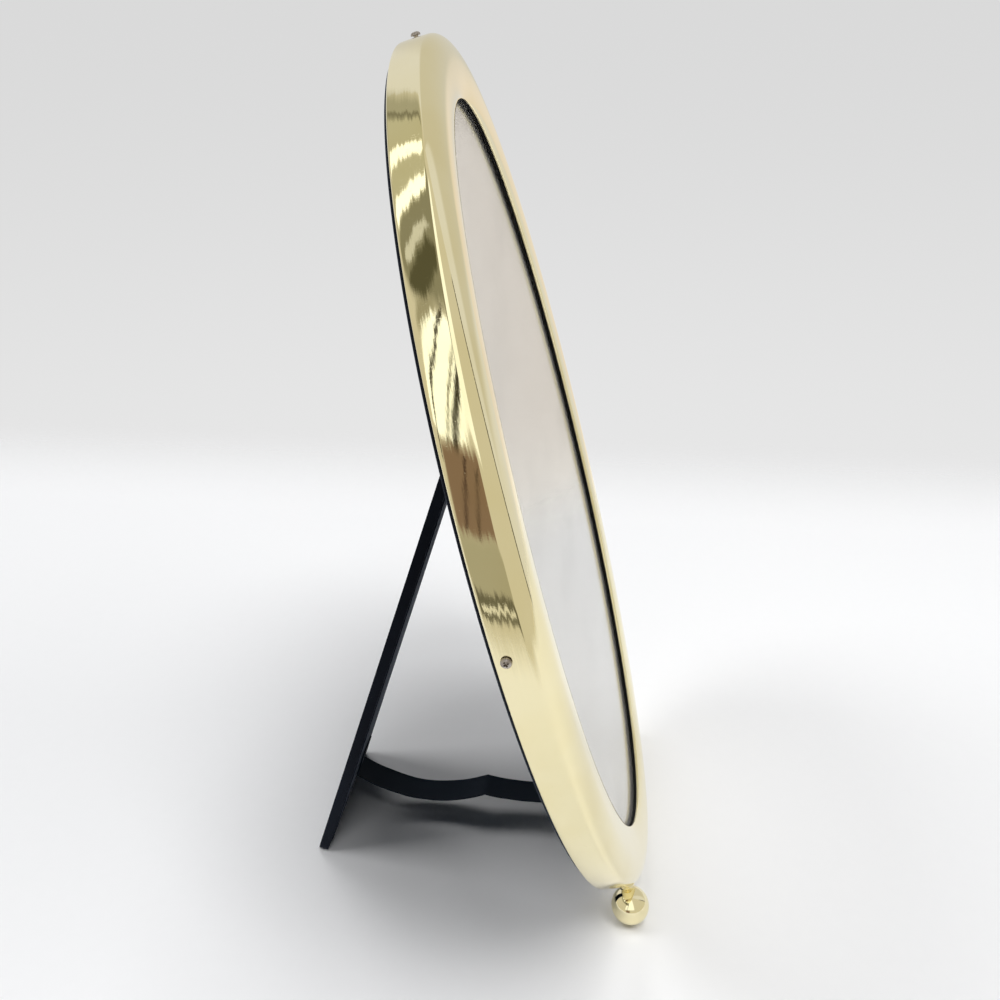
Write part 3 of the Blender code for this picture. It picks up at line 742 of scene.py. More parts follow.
@dataclass(frozen=True)
class Finish:
    """A finish, made as a material of its own name."""

    name: str

    def make(self) -> Material:
        """Make the material.

        Returns:
            The material, with the look that the finish paints on it.
        """
        sheet = NodeSheet(self.name)
        self.paint(sheet)
        return sheet.material

    def paint(self, sheet: NodeSheet) -> None:
        """Feed the shader; each finish has its own way."""
        raise NotImplementedError


@dataclass(frozen=True)
class PolishedBrass(Finish):
    """Polished and lacquered brass with spinning lines, grain, wipe marks and specks."""

    name: str = "spun_lacquered_brass"
    base: Colour = (0.88, 0.80, 0.52)
    warm: Colour = (0.85, 0.76, 0.46)
    patches: Mottle = Mottle(Grain(60.0, 3.0), 0.35, 0.75)
    wipes: Mottle = Mottle(Grain(35.0, 4.0, (1.0, 1.0, 3.0)), 0.4, 0.8, 0.03, 0.09)
    dust: Specks = Specks(900.0, 0.02, 0.07, 0.35)
    waves: Grain = Grain(150.0, 1.5)
    wave_depth: float = 0.009 * MM
    grain: Grain = Grain(3200.0, 3.0)
    grain_depth: float = 0.0011 * MM
    spun: Lines = Lines(2600.0, 45.0, 2.0)
    spun_depth: float = 0.0012 * MM
    scratches: Mottle = Mottle(Grain(1.0, 1.0, (9000.0, 500.0, 900.0)), 0.68, 0.76)
    scratch_depth: float = 0.0006 * MM
    sway: float = 0.032
    sway_lines: Lines = Lines(2100.0, 90.0, 4.0, 0.62)
    sway_ends: Point = (5.5 * MM, 6.6 * MM)
    sway_wall: float = 2.0
    sway_dome: float = 0.2
    axis: Place = (0.0, -0.965926, 0.258819)

    def swayed(self, sheet: NodeSheet) -> Output:
        """Tilt the side wall along the rim, unevenly from one spun line to the next.

        Args:
            sheet: The material's nodes.

        Returns:
            The tilted normal.
        """
        facing = sheet.join("ShaderNodeNewGeometry", {}, "Normal")
        round_rim = sheet.vector("CROSS_PRODUCT", self.axis, facing)
        uneven = sheet.maths("SUBTRACT", sheet.lines(self.sway_lines), 0.5)
        share = sheet.spread(sheet.across(), *self.sway_ends, self.sway_wall * self.sway,
                             self.sway_dome * self.sway)
        lean = sheet.join("ShaderNodeVectorMath",
                          {0: round_rim, "Scale": sheet.times(uneven, share)}, operation="SCALE")
        tilted = sheet.vector("ADD", facing, lean)
        return sheet.vector("NORMALIZE", tilted, tilted)

    def paint(self, sheet: NodeSheet) -> None:
        """Lay waves, grain, spun lines and scratches over each other.

        Args:
            sheet: The material's nodes.
        """
        facing = self.swayed(sheet) if self.sway > 0 else None
        waves = sheet.relief(sheet.noise(self.waves), self.wave_depth, facing)
        grain = sheet.relief(sheet.noise(self.grain), self.grain_depth, waves)
        spun = sheet.relief(sheet.lines(self.spun), self.spun_depth, grain)
        sheet.look(
            Base_Color=sheet.tint(sheet.mottle(self.patches), self.base, self.warm),
            Metallic=1.0,
            Roughness=sheet.maths("ADD", sheet.mottle(self.wipes), sheet.specks(self.dust),
                                  clamp=True),
            Normal=sheet.relief(sheet.mottle(self.scratches), self.scratch_depth, spun))


@dataclass(frozen=True)
class ZincSteel(Finish):
    """Zinc plated steel with a fine mottled spangle."""

    name: str = "zinc_plated_steel"
    base: Colour = (0.56, 0.54, 0.51)
    dull: Colour = (0.46, 0.44, 0.41)
    spangle: Mottle = Mottle(Grain(900.0, 4.0), 0.35, 0.7)
    wear: Mottle = Mottle(Grain(1500.0, 3.0), 0.3, 0.7, 0.24, 0.42)
    tooth: Grain = Grain(4000.0, 2.0)
    tooth_depth: float = 0.004 * MM

    def paint(self, sheet: NodeSheet) -> None:
        """Mottle the zinc and give it a fine tooth.

        Args:
            sheet: The material's nodes.
        """
        sheet.look(
            Base_Color=sheet.tint(sheet.mottle(self.spangle), self.base, self.dull),
            Metallic=1.0,
            Roughness=sheet.mottle(self.wear),
            Normal=sheet.relief(sheet.noise(self.tooth), self.tooth_depth))


@dataclass(frozen=True)
class PictureGlass(Finish):
    """Thin clear glass that lets lamps through to the sheet behind it."""

    name: str = "picture_glass"
    base: Colour = (0.985, 0.995, 0.99)
    bending: float = 1.2
    smears: Mottle = Mottle(Grain(22.0, 4.0, (1.0, 1.0, 2.5)), 0.45, 0.75, 0.08, 0.112)

    def paint(self, sheet: NodeSheet) -> None:
        """Smear the glass and open it for shadow and diffuse rays.

        Args:
            sheet: The material's nodes.
        """
        sheet.look(Transmission_Weight=1.0, IOR=self.bending, Base_Color=self.base,
                   Roughness=sheet.mottle(self.smears))
        path = sheet.add("ShaderNodeLightPath", {}).outputs
        mixed = sheet.join("ShaderNodeMixShader", {
            0: sheet.maths("MAXIMUM", path["Is Shadow Ray"], path["Is Diffuse Ray"]),
            1: sheet.shader.outputs[0],
            2: sheet.join("ShaderNodeBsdfTransparent", {})})
        sheet.feed(sheet.tree.nodes["Material Output"].inputs["Surface"], mixed)


@dataclass(frozen=True)
class BlankPaper(Finish):
    """Matt photo paper, faintly uneven, with a few specks of dust on it."""

    name: str = "blank_paper"
    base: Colour = (0.68, 0.65, 0.61)
    shade: Colour = (0.65, 0.62, 0.58)
    dust_tint: Colour = (0.12, 0.11, 0.10)
    clouds: Mottle = Mottle(Grain(28.0, 3.0), 0.35, 0.7)
    dust: Specks = Specks(95.0, 0.020, 0.032, 0.85)
    roughness: float = 0.62
    tooth: Grain = Grain(6000.0, 2.0)
    tooth_depth: float = 0.004 * MM

    def paint(self, sheet: NodeSheet) -> None:
        """Cloud the paper and scatter the dust.

        Args:
            sheet: The material's nodes.
        """
        clouded = sheet.tint(sheet.mottle(self.clouds), self.base, self.shade)
        sheet.look(
            Base_Color=sheet.tint(sheet.specks(self.dust), clouded, self.dust_tint),
            Roughness=self.roughness,
            Normal=sheet.relief(sheet.noise(self.tooth), self.tooth_depth))


@dataclass(frozen=True)
class PulpBoard(Finish):
    """Pressed fibre board or card, and the near-black sheet that paints the shadow under the
    bezel's lip.
    """

    base: Colour
    fleck: Colour
    roughness: float = 0.85
    fibres: Grain = Grain(1.0, 4.0, (2600.0, 900.0, 2600.0))
    fleck_ends: Point = (0.4, 0.68)
    fibre_depth: float = 0.03 * MM

    def paint(self, sheet: NodeSheet) -> None:
        """Fleck the board with its fibres and raise them.

        Args:
            sheet: The material's nodes.
        """
        fibres = sheet.noise(self.fibres)
        sheet.look(
            Base_Color=sheet.tint(sheet.spread(fibres, *self.fleck_ends), self.base, self.fleck),
            Roughness=self.roughness,
            Normal=sheet.relief(fibres, self.fibre_depth))


@dataclass(frozen=True)
class Velvet(Finish):
    """Short dense pile, almost black, brushed unevenly and holding a little lint."""

    name: str = "navy_velvet"
    base: Colour = (0.0055, 0.0068, 0.0115)
    brushed: Colour = (0.0095, 0.0120, 0.0190)
    lint_tint: Colour = (0.10, 0.105, 0.115)
    sheen_tint: Colour = (0.55, 0.65, 0.85)
    lay: Mottle = Mottle(Grain(70.0, 3.0, (1.0, 1.0, 0.45)), 0.38, 0.66)
    lint: Specks = Specks(520.0, 0.03, 0.07, 0.7)
    dents: Grain = Grain(240.0, 3.0)
    dent_depth: float = 0.05 * MM
    pile: Grain = Grain(5200.0, 3.0, roughness=0.7)
    pile_depth: float = 0.09 * MM

    def paint(self, sheet: NodeSheet) -> None:
        """Brush the pile, dent it and add the lint.

        Args:
            sheet: The material's nodes.
        """
        brushed = sheet.tint(sheet.mottle(self.lay), self.base, self.brushed)
        dents = sheet.relief(sheet.noise(self.dents), self.dent_depth)
        sheet.look(
            Base_Color=sheet.tint(sheet.specks(self.lint), brushed, self.lint_tint),
            Roughness=0.96, Specular_IOR_Level=0.15,
            Sheen_Weight=0.22, Sheen_Roughness=0.45, Sheen_Tint=self.sheen_tint,
            Normal=sheet.relief(sheet.noise(self.pile), self.pile_depth, dents))


@dataclass(frozen=True)
class WovenCloth(Finish):
    """Plain woven cloth or ribbon, with its threads across and along the piece."""

    base: Colour
    crown: Colour
    pitch: float
    rib: float
    roughness: float = 0.7
    sheen: float = 0.2
    sheen_tint: Colour = (0.6, 0.68, 0.85)
    gleam_tint: Colour = (0.45, 0.65, 1.0)
    wear: Mottle = Mottle(Grain(900.0, 3.0), 0.2, 0.8, 0.6, 1.0)
    thread_depth: float = 0.03 * MM
    thread_strength: float = 0.8

    def paint(self, sheet: NodeSheet) -> None:
        """Weave the threads, raise them and wear their tone.

        Args:
            sheet: The material's nodes.
        """
        x, _, z = sheet.parts(sheet.spot)
        run = sheet.maths("ADD", z, sheet.across())
        warp = sheet.maths("SINE", sheet.times(x, FULL_TURN / self.pitch))
        weft = sheet.maths("SINE", sheet.times(run, FULL_TURN / self.rib))
        threads = sheet.spread(sheet.times(warp, weft), -1.0, 1.0)
        tone = sheet.times(threads, sheet.mottle(self.wear))
        sheet.look(
            Base_Color=sheet.tint(tone, self.base, self.crown),
            Roughness=self.roughness, Specular_IOR_Level=0.3, Specular_Tint=self.gleam_tint,
            Sheen_Weight=self.sheen, Sheen_Roughness=0.4, Sheen_Tint=self.sheen_tint,
            Normal=sheet.relief(threads, self.thread_depth, strength=self.thread_strength))


def made(finish: Finish) -> Any:
    """Declare a field that holds a finish's material."""
    return field(default_factory=finish.make)


@dataclass
class Finishes:
    """Every finish of the object, made once."""

    brass: Material = made(PolishedBrass())
    turned_brass: Material = made(PolishedBrass("turned_lacquered_brass", sway=0.0))
    steel: Material = made(ZincSteel())
    screw_steel: Material = made(ZincSteel(
        "dulled_screw_steel", base=(0.46, 0.42, 0.385), dull=(0.24, 0.20, 0.18)))
    glass: Material = made(PictureGlass())
    paper: Material = made(BlankPaper())
    card: Material = made(PulpBoard(
        "grey_filler_card", base=(0.42, 0.40, 0.37), fleck=(0.30, 0.29, 0.27), roughness=0.9))
    hardboard: Material = made(PulpBoard(
        "brown_hardboard", base=(0.22, 0.13, 0.07), fleck=(0.30, 0.19, 0.11)))
    # Near-black sheet under the bezel's lip: painted shadow of the gap between lip and glass.
    shadow_felt: Material = made(PulpBoard(
        "black_felt_painted_shadow", base=(0.001, 0.001, 0.0011), fleck=(0.002, 0.002, 0.0022), roughness=1.0))
    velvet: Material = made(Velvet())
    lining: Material = made(WovenCloth(
        "navy_lining_cloth", base=(0.008, 0.010, 0.017), crown=(0.016, 0.019, 0.030),
        pitch=0.5 * MM, rib=0.5 * MM, roughness=0.85))
    ribbon: Material = made(WovenCloth(
        "navy_ribbon", base=(0.0016, 0.0036, 0.0070), crown=(0.0036, 0.0072, 0.0130),
        pitch=0.3 * MM, rib=0.62 * MM, roughness=0.75, sheen=0.03))


@dataclass
class BrassBezel:
    """The domed oval ring of spun sheet, with its lip rolled in round the opening.

    Steps that come in pairs are those of the outer face and of the inner one.
    """

    oval: Oval
    space: Matrix
    depth: float = 9.1 * MM
    wall_height: float = 5.7 * MM
    crest_inset: float = 6.0 * MM
    lip_inset: float = 12.7 * MM
    lip_drop: float = 1.15 * MM
    sheet: float = 0.9 * MM
    rear_round: float = 0.4 * MM
    wall_crown: float = 0.055 * MM
    # Section of the near-black sheet under the lip, whose colour paints the shadow in the gap
    # there.
    shadow_spacer_near: Point = (11.0 * MM, 6.78 * MM)
    shadow_spacer_far: Point = (12.35 * MM, 7.42 * MM)
    shadow_spacer_corner: float = 0.15 * MM
    steps: int = 420
    shadow_spacer_steps: int = 210
    rear_steps: Sequence[int] = (5, 4)
    wall_rows: int = 9
    dome_steps: Sequence[int] = (34, 16)
    roll_steps: Sequence[int] = (16, 8)
    hem_steps: int = 8

    def section(self) -> list[Point]:
        """Make the closed section, from the rear edge over the dome and back inside it.

        Returns:
            Inset and level of each point.
        """
        rear, crest, wall, crown = (self.rear_round, self.crest_inset, self.wall_height,
                                    self.wall_crown)
        middle = wall / 2
        hem = self.sheet / 2
        lip_front = self.depth - self.lip_drop
        roll = self.lip_inset - crest
        points = arc((rear + crown, rear), (rear, rear), -QUARTER_TURN, -HALF_TURN,
                     self.rear_steps[0])
        for index in range(1, self.wall_rows):
            level = rear + (wall - rear) * index / self.wall_rows
            points.append((crown * ((level - middle) / middle) ** 2, level))
        points += arc((crest, wall), (crest - crown, self.depth - wall), HALF_TURN, QUARTER_TURN,
                      self.dome_steps[0])
        points += arc((crest, lip_front), (roll, self.lip_drop), QUARTER_TURN, 0.0,
                      self.roll_steps[0])[1:]
        points += arc((self.lip_inset - hem, lip_front), (hem, hem), 0.0, -HALF_TURN,
                      self.hem_steps)[1:]
        points += arc((crest, lip_front), (roll - self.sheet, self.lip_drop - self.sheet),
                      0.0, QUARTER_TURN, self.roll_steps[1])[1:]
        points += arc((crest, wall), (crest - self.sheet, self.depth - wall - self.sheet),
                      QUARTER_TURN, HALF_TURN, self.dome_steps[1])[1:]
        return points + arc((self.sheet - rear, rear), (rear, rear), 0.0, -QUARTER_TURN,
                            self.rear_steps[1])

    def build(self, finishes: Finishes) -> list[Piece]:
        """Make the ring and the near-black sheet under its lip, which paints the shadow in the gap
        between lip and glass.

        Args:
            finishes: The object's finishes.

        Returns:
            The ring and the near-black sheet that paints the shadow under the lip.
        """
        ring = ring_piece("brass_bezel", self.oval, self.section(), self.steps, self.space)
        dress(ring, finishes.brass, Body.FRAME, ["bezel"])
        # A near-black sheet under the lip paints the shadow in the gap between lip and glass.
        shadow_felt = rounded_outline(box_outline(self.shadow_spacer_near, self.shadow_spacer_far),
                               (self.shadow_spacer_corner,) * 4, steps=3)
        shadow_spacer = ring_piece("lip_shadow_spacer", self.oval, shadow_felt, self.shadow_spacer_steps, self.space)
        return [ring, dress(shadow_spacer, finishes.shadow_felt, Body.FRAME)]


@dataclass
class CarriedSolids:
    """The pane, sheets, boards and studs, which keep the shape that they were packed with."""

    def build(self, finishes: Finishes) -> list[Piece]:
        """Dress the carried-over solids.

        Args:
            finishes: The object's finishes.

        Returns:
            The solids.
        """
        looks = {
            "glass_pane": finishes.glass,
            "picture_insert": finishes.paper,
            "filler_card": finishes.card,
            "back_board": finishes.hardboard,
            "strut_board": finishes.hardboard,
            "foot_stud_left": finishes.steel,
            "foot_stud_right": finishes.steel,
        }
        for name, material in looks.items():
            node = frame["nodes"][name]
            node.data.materials.clear()
            node.data.materials.append(material)
        return [frame["nodes"][name] for name in looks]


@dataclass
class ButtHinge:
    """Two leaves with knuckles, the pin through them and four rivets."""

    pin_space: Matrix
    strut_space: Matrix
    width: float = 20.0 * MM
    leaf_length: float = 13.0 * MM
    leaf_front: float = 1.5 * MM
    leaf_back: float = 0.9 * MM
    toe_corner: float = 2.5 * MM
    heel_corner: float = 0.2 * MM
    edge: float = 0.12 * MM
    knuckle_radius: float = 1.5 * MM
    knuckle_bevel: float = 0.15 * MM
    centre_knuckle: float = 8.0 * MM
    seam_offset: float = 0.55 * MM
    seam_half: float = 0.06 * MM
    seam_levels: Point = (1.05 * MM, 2.0 * MM)
    pin_radius: float = 0.65 * MM
    pin_clearance: float = 0.1 * MM
    pin_head_radius: float = 1.1 * MM
    pin_head_length: float = 0.4 * MM
    pin_head_flat: float = 0.6
    pin_head_rim: float = 0.45
    pin_head_crown: float = 0.05 * MM
    gap: float = 0.3 * MM
    seat: float = 0.2 * MM
    rivet_spacing: float = 11.0 * MM
    rivet_distance: float = 8.0 * MM
    rivet_shank: float = 0.9 * MM
    rivet_head: float = 1.9 * MM
    rivet_height: float = 0.7 * MM
    rivet_reach: float = 4.6 * MM
    strut_back: float = -2.2 * MM
    sunk_bevel: float = 0.15 * MM
    sunk_rim: float = 0.08 * MM
    sunk_depth: float = 0.35 * MM
    round_steps: int = 40
    bar_steps: int = 32
    dome_steps: int = 10

    def leaf_space(self, leaf: Leaf) -> Matrix:
        """Space that a leaf lies in."""
        return self.pin_space if leaf is Leaf.BOARD else self.strut_space

    def rivet_spaces(self, leaf: Leaf) -> list[tuple[Side, Matrix]]:
        """List the two rivets of a leaf.

        Args:
            leaf: The leaf.

        Returns:
            Side and place of each.
        """
        y = leaf.sign * self.rivet_distance
        return [(side, self.leaf_space(leaf) @ Matrix.Translation(
            (side.sign * self.rivet_spacing / 2, y, 0.0))) for side in Side]

    def hole_bars(self, leaf: Leaf, low: float, high: float) -> list[Piece]:
        """Make the round bars that cut the holes for a leaf's rivets.

        Args:
            leaf: The leaf.
            low: Level of the bars' lower ends.
            high: Level of their upper ends.

        Returns:
            The bars.
        """
        radius = self.rivet_shank + self.seat
        profile = [(0.0, high), (radius, high), (radius, low), (0.0, low)]
        return [turned_piece("rivet_hole", profile, self.bar_steps, place)
                for _, place in self.rivet_spaces(leaf)]

    def spans(self, leaf: Leaf) -> tuple[list[Point], list[Point]]:
        """Share the width out among the knuckles.

        Args:
            leaf: The leaf.

        Returns:
            Start and end of each of its knuckles, and of each notch for the other leaf's.
        """
        half = self.width / 2
        near = self.centre_knuckle / 2 - self.gap / 2
        far = self.centre_knuckle / 2 + self.gap / 2
        if leaf is Leaf.BOARD:
            return [(-half, -far), (far, half)], [(-far, far)]
        return [(-near, near)], [(-half - self.gap, -near), (near, half + self.gap)]

    def plate(self, leaf: Leaf, notches: Sequence[Point]) -> Piece:
        """Make a leaf's flat plate with its notches and rivet holes.

        Args:
            leaf: The leaf.
            notches: Start and end of each notch.

        Returns:
            The plate.
        """
        space = self.leaf_space(leaf)
        half = self.width / 2
        end = leaf.sign * self.leaf_length
        low, high = ((self.heel_corner, self.toe_corner) if leaf is Leaf.BOARD
                     else (self.toe_corner, self.heel_corner))
        outline = rounded_outline(box_outline((-half, min(0.0, end)), (half, max(0.0, end))),
                                  (low, low, high, high))
        plate = plate_piece(f"hinge_plate_{leaf.value}", outline, self.leaf_back,
                            self.leaf_front, space, self.edge)
        clear = self.knuckle_radius + self.gap
        cutters = [plate_piece("notch", box_outline((start, -clear), (stop, clear)),
                               self.leaf_back - self.gap, self.leaf_front + self.gap, space)
                   for start, stop in notches]
        carve(plate, cutters + self.hole_bars(leaf, -CUTTER_OVERHANG, CUTTER_OVERHANG))
        return plate

    def leaf(self, leaf: Leaf, finishes: Finishes) -> Piece:
        """Make a leaf with its rolled knuckles and their seams.

        Args:
            leaf: The leaf.
            finishes: The object's finishes.

        Returns:
            The dressed leaf.
        """
        spans, notches = self.spans(leaf)
        plate = self.plate(leaf, notches)
        space = self.leaf_space(leaf)
        along_x = space @ Matrix.Rotation(QUARTER_TURN, 4, "Y")
        hole = self.pin_radius + self.pin_clearance
        outer = self.knuckle_radius
        bevel = self.knuckle_bevel
        seam_y = -leaf.sign * self.seam_offset
        for start, end in spans:
            profile = [(hole, start), (outer - bevel, start), (outer, start + bevel),
                       (outer, end - bevel), (outer - bevel, end), (hole, end)]
            tube = turned_piece("knuckle", profile, self.round_steps, along_x, closed=True)
            seam = box_outline((start - CUTTER_OVERHANG, seam_y - self.seam_half),
                               (end + CUTTER_OVERHANG, seam_y + self.seam_half))
            carve(tube, [plate_piece("seam", seam, *self.seam_levels, space)])
            carve(plate, [tube], Carving.JOIN)
        return dress(plate, finishes.steel, leaf.body, [f"hinge_leaf_{leaf.value}"])

    def pin(self, finishes: Finishes) -> Piece:
        """Make the pin with a low domed head on each end.

        Args:
            finishes: The object's finishes.

        Returns:
            The dressed pin.
        """
        end = self.width / 2 + self.seat
        tip = end + self.pin_head_length
        wide = self.pin_head_radius
        dome = [(0.0, tip), (wide * self.pin_head_flat, tip - self.pin_head_crown),
                (wide, end + self.pin_head_length * self.pin_head_rim), (wide, end),
                (self.pin_radius, end)]
        profile = dome + [(radius, -height) for radius, height in reversed(dome)]
        pin = turned_piece("pin_of_hinge", profile, self.bar_steps,
                           self.pin_space @ Matrix.Rotation(QUARTER_TURN, 4, "Y"))
        return dress(pin, finishes.steel, Body.FRAME, ["hinge_pin"])

    def rivet_profile(self, leaf: Leaf) -> list[Point]:
        """Make a rivet's profile. The strut's is sunk flush into its leaf.

        Args:
            leaf: The leaf that it holds.

        Returns:
            Radius and height of its shank, then of the domed head below its seat.
        """
        shank = self.rivet_shank
        if leaf is Leaf.BOARD:
            seat = self.leaf_back - self.seat
            tip = seat + self.rivet_reach
            points = [(0.0, tip), (shank, tip)]
        else:
            seat = self.strut_back - self.seat
            flush = self.leaf_front - self.seat / 2
            wide = self.rivet_head - (self.rivet_head - shank) / 3
            points = [(0.0, flush), (wide - self.sunk_bevel, flush),
                      (wide, flush - self.sunk_rim), (shank, flush - self.sunk_depth)]
        dome = arc((0.0, seat), (self.rivet_head, self.rivet_height), 0.0, QUARTER_TURN,
                   self.dome_steps)
        return [*points, (shank, seat), *((radius, 2 * seat - height) for radius, height in dome)]

    def rivets(self, leaf: Leaf, finishes: Finishes) -> list[Piece]:
        """Make the rivets of a leaf.

        Args:
            leaf: The leaf.
            finishes: The object's finishes.

        Returns:
            The dressed rivets.
        """
        pieces = []
        for side, place in self.rivet_spaces(leaf):
            rivet = turned_piece(f"{leaf.value}_rivet_{side.value}", self.rivet_profile(leaf),
                                 self.round_steps, place)
            pieces.append(dress(rivet, finishes.steel, leaf.body,
                                [f"hinge_rivet_{leaf.value}_{side.value}"]))
        return pieces

    def build(self, finishes: Finishes) -> list[Piece]:
        """Make the leaves, the pin and the rivets.

        Args:
            finishes: The object's finishes.

        Returns:
            The seven pieces.
        """
        return [*(self.leaf(leaf, finishes) for leaf in Leaf), self.pin(finishes),
                *(rivet for leaf in Leaf for rivet in self.rivets(leaf, finishes))]


@dataclass
class BackCover:
    """The velvet glued over the back board and turned up inside the rim."""

    oval: Oval
    space: Matrix
    hinge: ButtHinge
    inset: float = 1.2 * MM
    rear: float = -0.9 * MM
    inner: float = 0.1 * MM
    top: float = 3.8 * MM
    wall: float = 0.5 * MM
    corner: float = 0.7 * MM
    tuck: float = 0.97
    puff: float = 0.05 * MM
    puffs_per_metre: float = 90.0
    rings: int = 26
    steps: int = 240
    edge_steps: int = 6

    def rows(self) -> list[Place]:
        """List the rings of the cover, from the middle over its edge to the inside.

        Returns:
            Share of the oval, inset and level of each ring.
        """
        flat_inset = self.inset + self.corner
        lip = self.wall / 2
        edge = arc((flat_inset, self.rear + self.corner), (self.corner, self.corner),
                   -QUARTER_TURN, -HALF_TURN, self.edge_steps)
        edge += arc((self.inset + lip, self.top - lip), (lip, lip), HALF_TURN, 0.0,
                    self.edge_steps)
        edge.append((self.inset + self.wall, self.inner))
        return [*((index / self.rings, flat_inset, self.rear) for index in range(1, self.rings)),
                *((1.0, inset, level) for inset, level in edge),
                (self.tuck, self.inset + self.wall, self.inner)]

    def build(self, finishes: Finishes) -> list[Piece]:
        """Make the cover and pierce it for the hinge rivets.

        Args:
            finishes: The object's finishes.

        Returns:
            The cover.
        """
        holes = self.hinge.hole_bars(Leaf.BOARD, -CUTTER_OVERHANG, 2 * CUTTER_OVERHANG)
        rows = self.rows()
        vertices = []
        for share, inset, level in rows:
            for turn in turns(self.steps):
                x, y = (part * share for part in self.oval.at(turn, inset)[0])
                lift = 0.0
                if level == self.rear:
                    spot = Vector((x, y, 0.0)) * self.puffs_per_metre
                    lift = max(0.0, self.puff * noise.noise(spot))
                vertices.append((x, y, level - lift))
        across = [level for _, _, level in rows for _ in range(self.steps)]
        cover = make_piece("back_cover", vertices, tube_faces(len(rows), self.steps), self.space,
                           across=across)
        carve(cover, holes)
        dress(cover, finishes.velvet, Body.FRAME, ["back_velvet"])
        return [cover]


@dataclass
class RimScrew:
    """A pan head screw with a cross recess and a threaded shank."""

    name: str
    turn_deg: float
    oval: Oval
    space: Matrix
    level: float = 2.1 * MM
    seat: float = 0.2 * MM
    rise: float = 0.0
    head_radius: float = 1.0 * MM
    head_height: float = 0.65 * MM
    head_side: float = 0.8
    head_crown: float = 0.85
    head_under: float = 0.97
    head_rows: int = 12
    head_steps: int = 40
    shank_radius: float = 0.5 * MM
    shank_inside: float = 0.1 * MM
    shank_columns: int = 24
    length: float = 7.0 * MM
    point_length: float = 0.8 * MM
    thread_depth: float = 0.12 * MM
    thread_pitch: float = 0.45 * MM
    thread_start: float = 1.2 * MM
    thread_flank: float = 3.2
    thread_rows: int = 8
    recess_width: float = 0.35 * MM
    recess_span: float = 1.2 * MM
    recess_depth: float = 0.4 * MM
    recess_flare: float = 1.06
    recess_above: float = 1.15
    recess_floor: float = 0.5
    recess_taper: float = 0.4
    recess_turn_deg: float = 20.0

    def head_profile(self) -> list[Point]:
        """Make the pan head's profile.

        Returns:
            Radius and height, from the top down to the flat underside.
        """
        points = []
        for index in range(self.head_rows + 1):
            angle = QUARTER_TURN * (1 - index / self.head_rows)
            points.append((self.head_radius * math.cos(angle) ** self.head_side,
                           self.head_height * math.sin(angle) ** self.head_crown))
        return points + [(self.head_radius * self.head_under, 0.0), (0.0, 0.0)]

    def recess(self, space: Matrix) -> Piece:
        """Make the tapered cross that cuts the recess.

        Args:
            space: The screw's seat.

        Returns:
            The cross.
        """
        vertices = []
        for share, height in ((self.recess_flare, self.head_height * self.recess_above),
                              (self.recess_floor, self.head_height - self.recess_depth)):
            wide = self.recess_span / 2 * share
            thin = self.recess_width / 2 * (1 - self.recess_taper + self.recess_taper * share)
            arm = [(wide, thin), (thin, thin), (thin, wide)]
            for _ in range(4):
                vertices += [(x, y, height) for x, y in arm]
                arm = [(-y, x) for x, y in arm]
        return make_piece("recess", vertices, prism_faces(len(vertices) // 2), space)

    def shank(self, space: Matrix) -> Piece:
        """Make the shank with a thread that runs round it, down to its point.

        Args:
            space: The screw's seat.

        Returns:
            The shank.
        """
        rows = int(self.length / self.thread_pitch * self.thread_rows)
        vertices = []
        for row in range(rows + 1):
            depth = self.length * row / rows
            taper = min(1.0, (self.length - depth) / self.point_length)
            started = min(1.0, depth / self.thread_start)
            for column, angle in enumerate(turns(self.shank_columns)):
                phase = (depth / self.thread_pitch + column / self.shank_columns) % 1.0
                ridge = max(0.0, 1.0 - abs(phase - 0.5) * self.thread_flank)
                radius = (self.shank_radius - self.thread_depth * (1 - ridge) * started) * taper
                vertices.append((radius * math.cos(angle), radius * math.sin(angle),
                                 self.shank_inside - depth))
        faces = grid_faces(rows + 1, self.shank_columns, False, True)
        return make_piece("shank", vertices, [*faces, tuple(range(self.shank_columns))], space)

    def build(self, finishes: Finishes) -> list[Piece]:
        """Make the screw in its seat on the rim.

        Args:
            finishes: The object's finishes.

        Returns:
            The screw.
        """
        seat = (self.space @ self.oval.wall_space(self.turn_deg, self.level)
                @ Matrix.Translation((0, 0, self.seat + self.rise)))
        turned = seat @ Matrix.Rotation(math.radians(self.recess_turn_deg), 4, "Z")
        screw = turned_piece(f"pan_screw_{self.name}", self.head_profile(), self.head_steps, seat)
        carve(screw, [self.recess(turned)])
        carve(screw, [self.shank(seat)], Carving.JOIN)
        return [dress(screw, finishes.screw_steel, Body.FRAME,
                      [f"rim_screw_{self.name}"])]


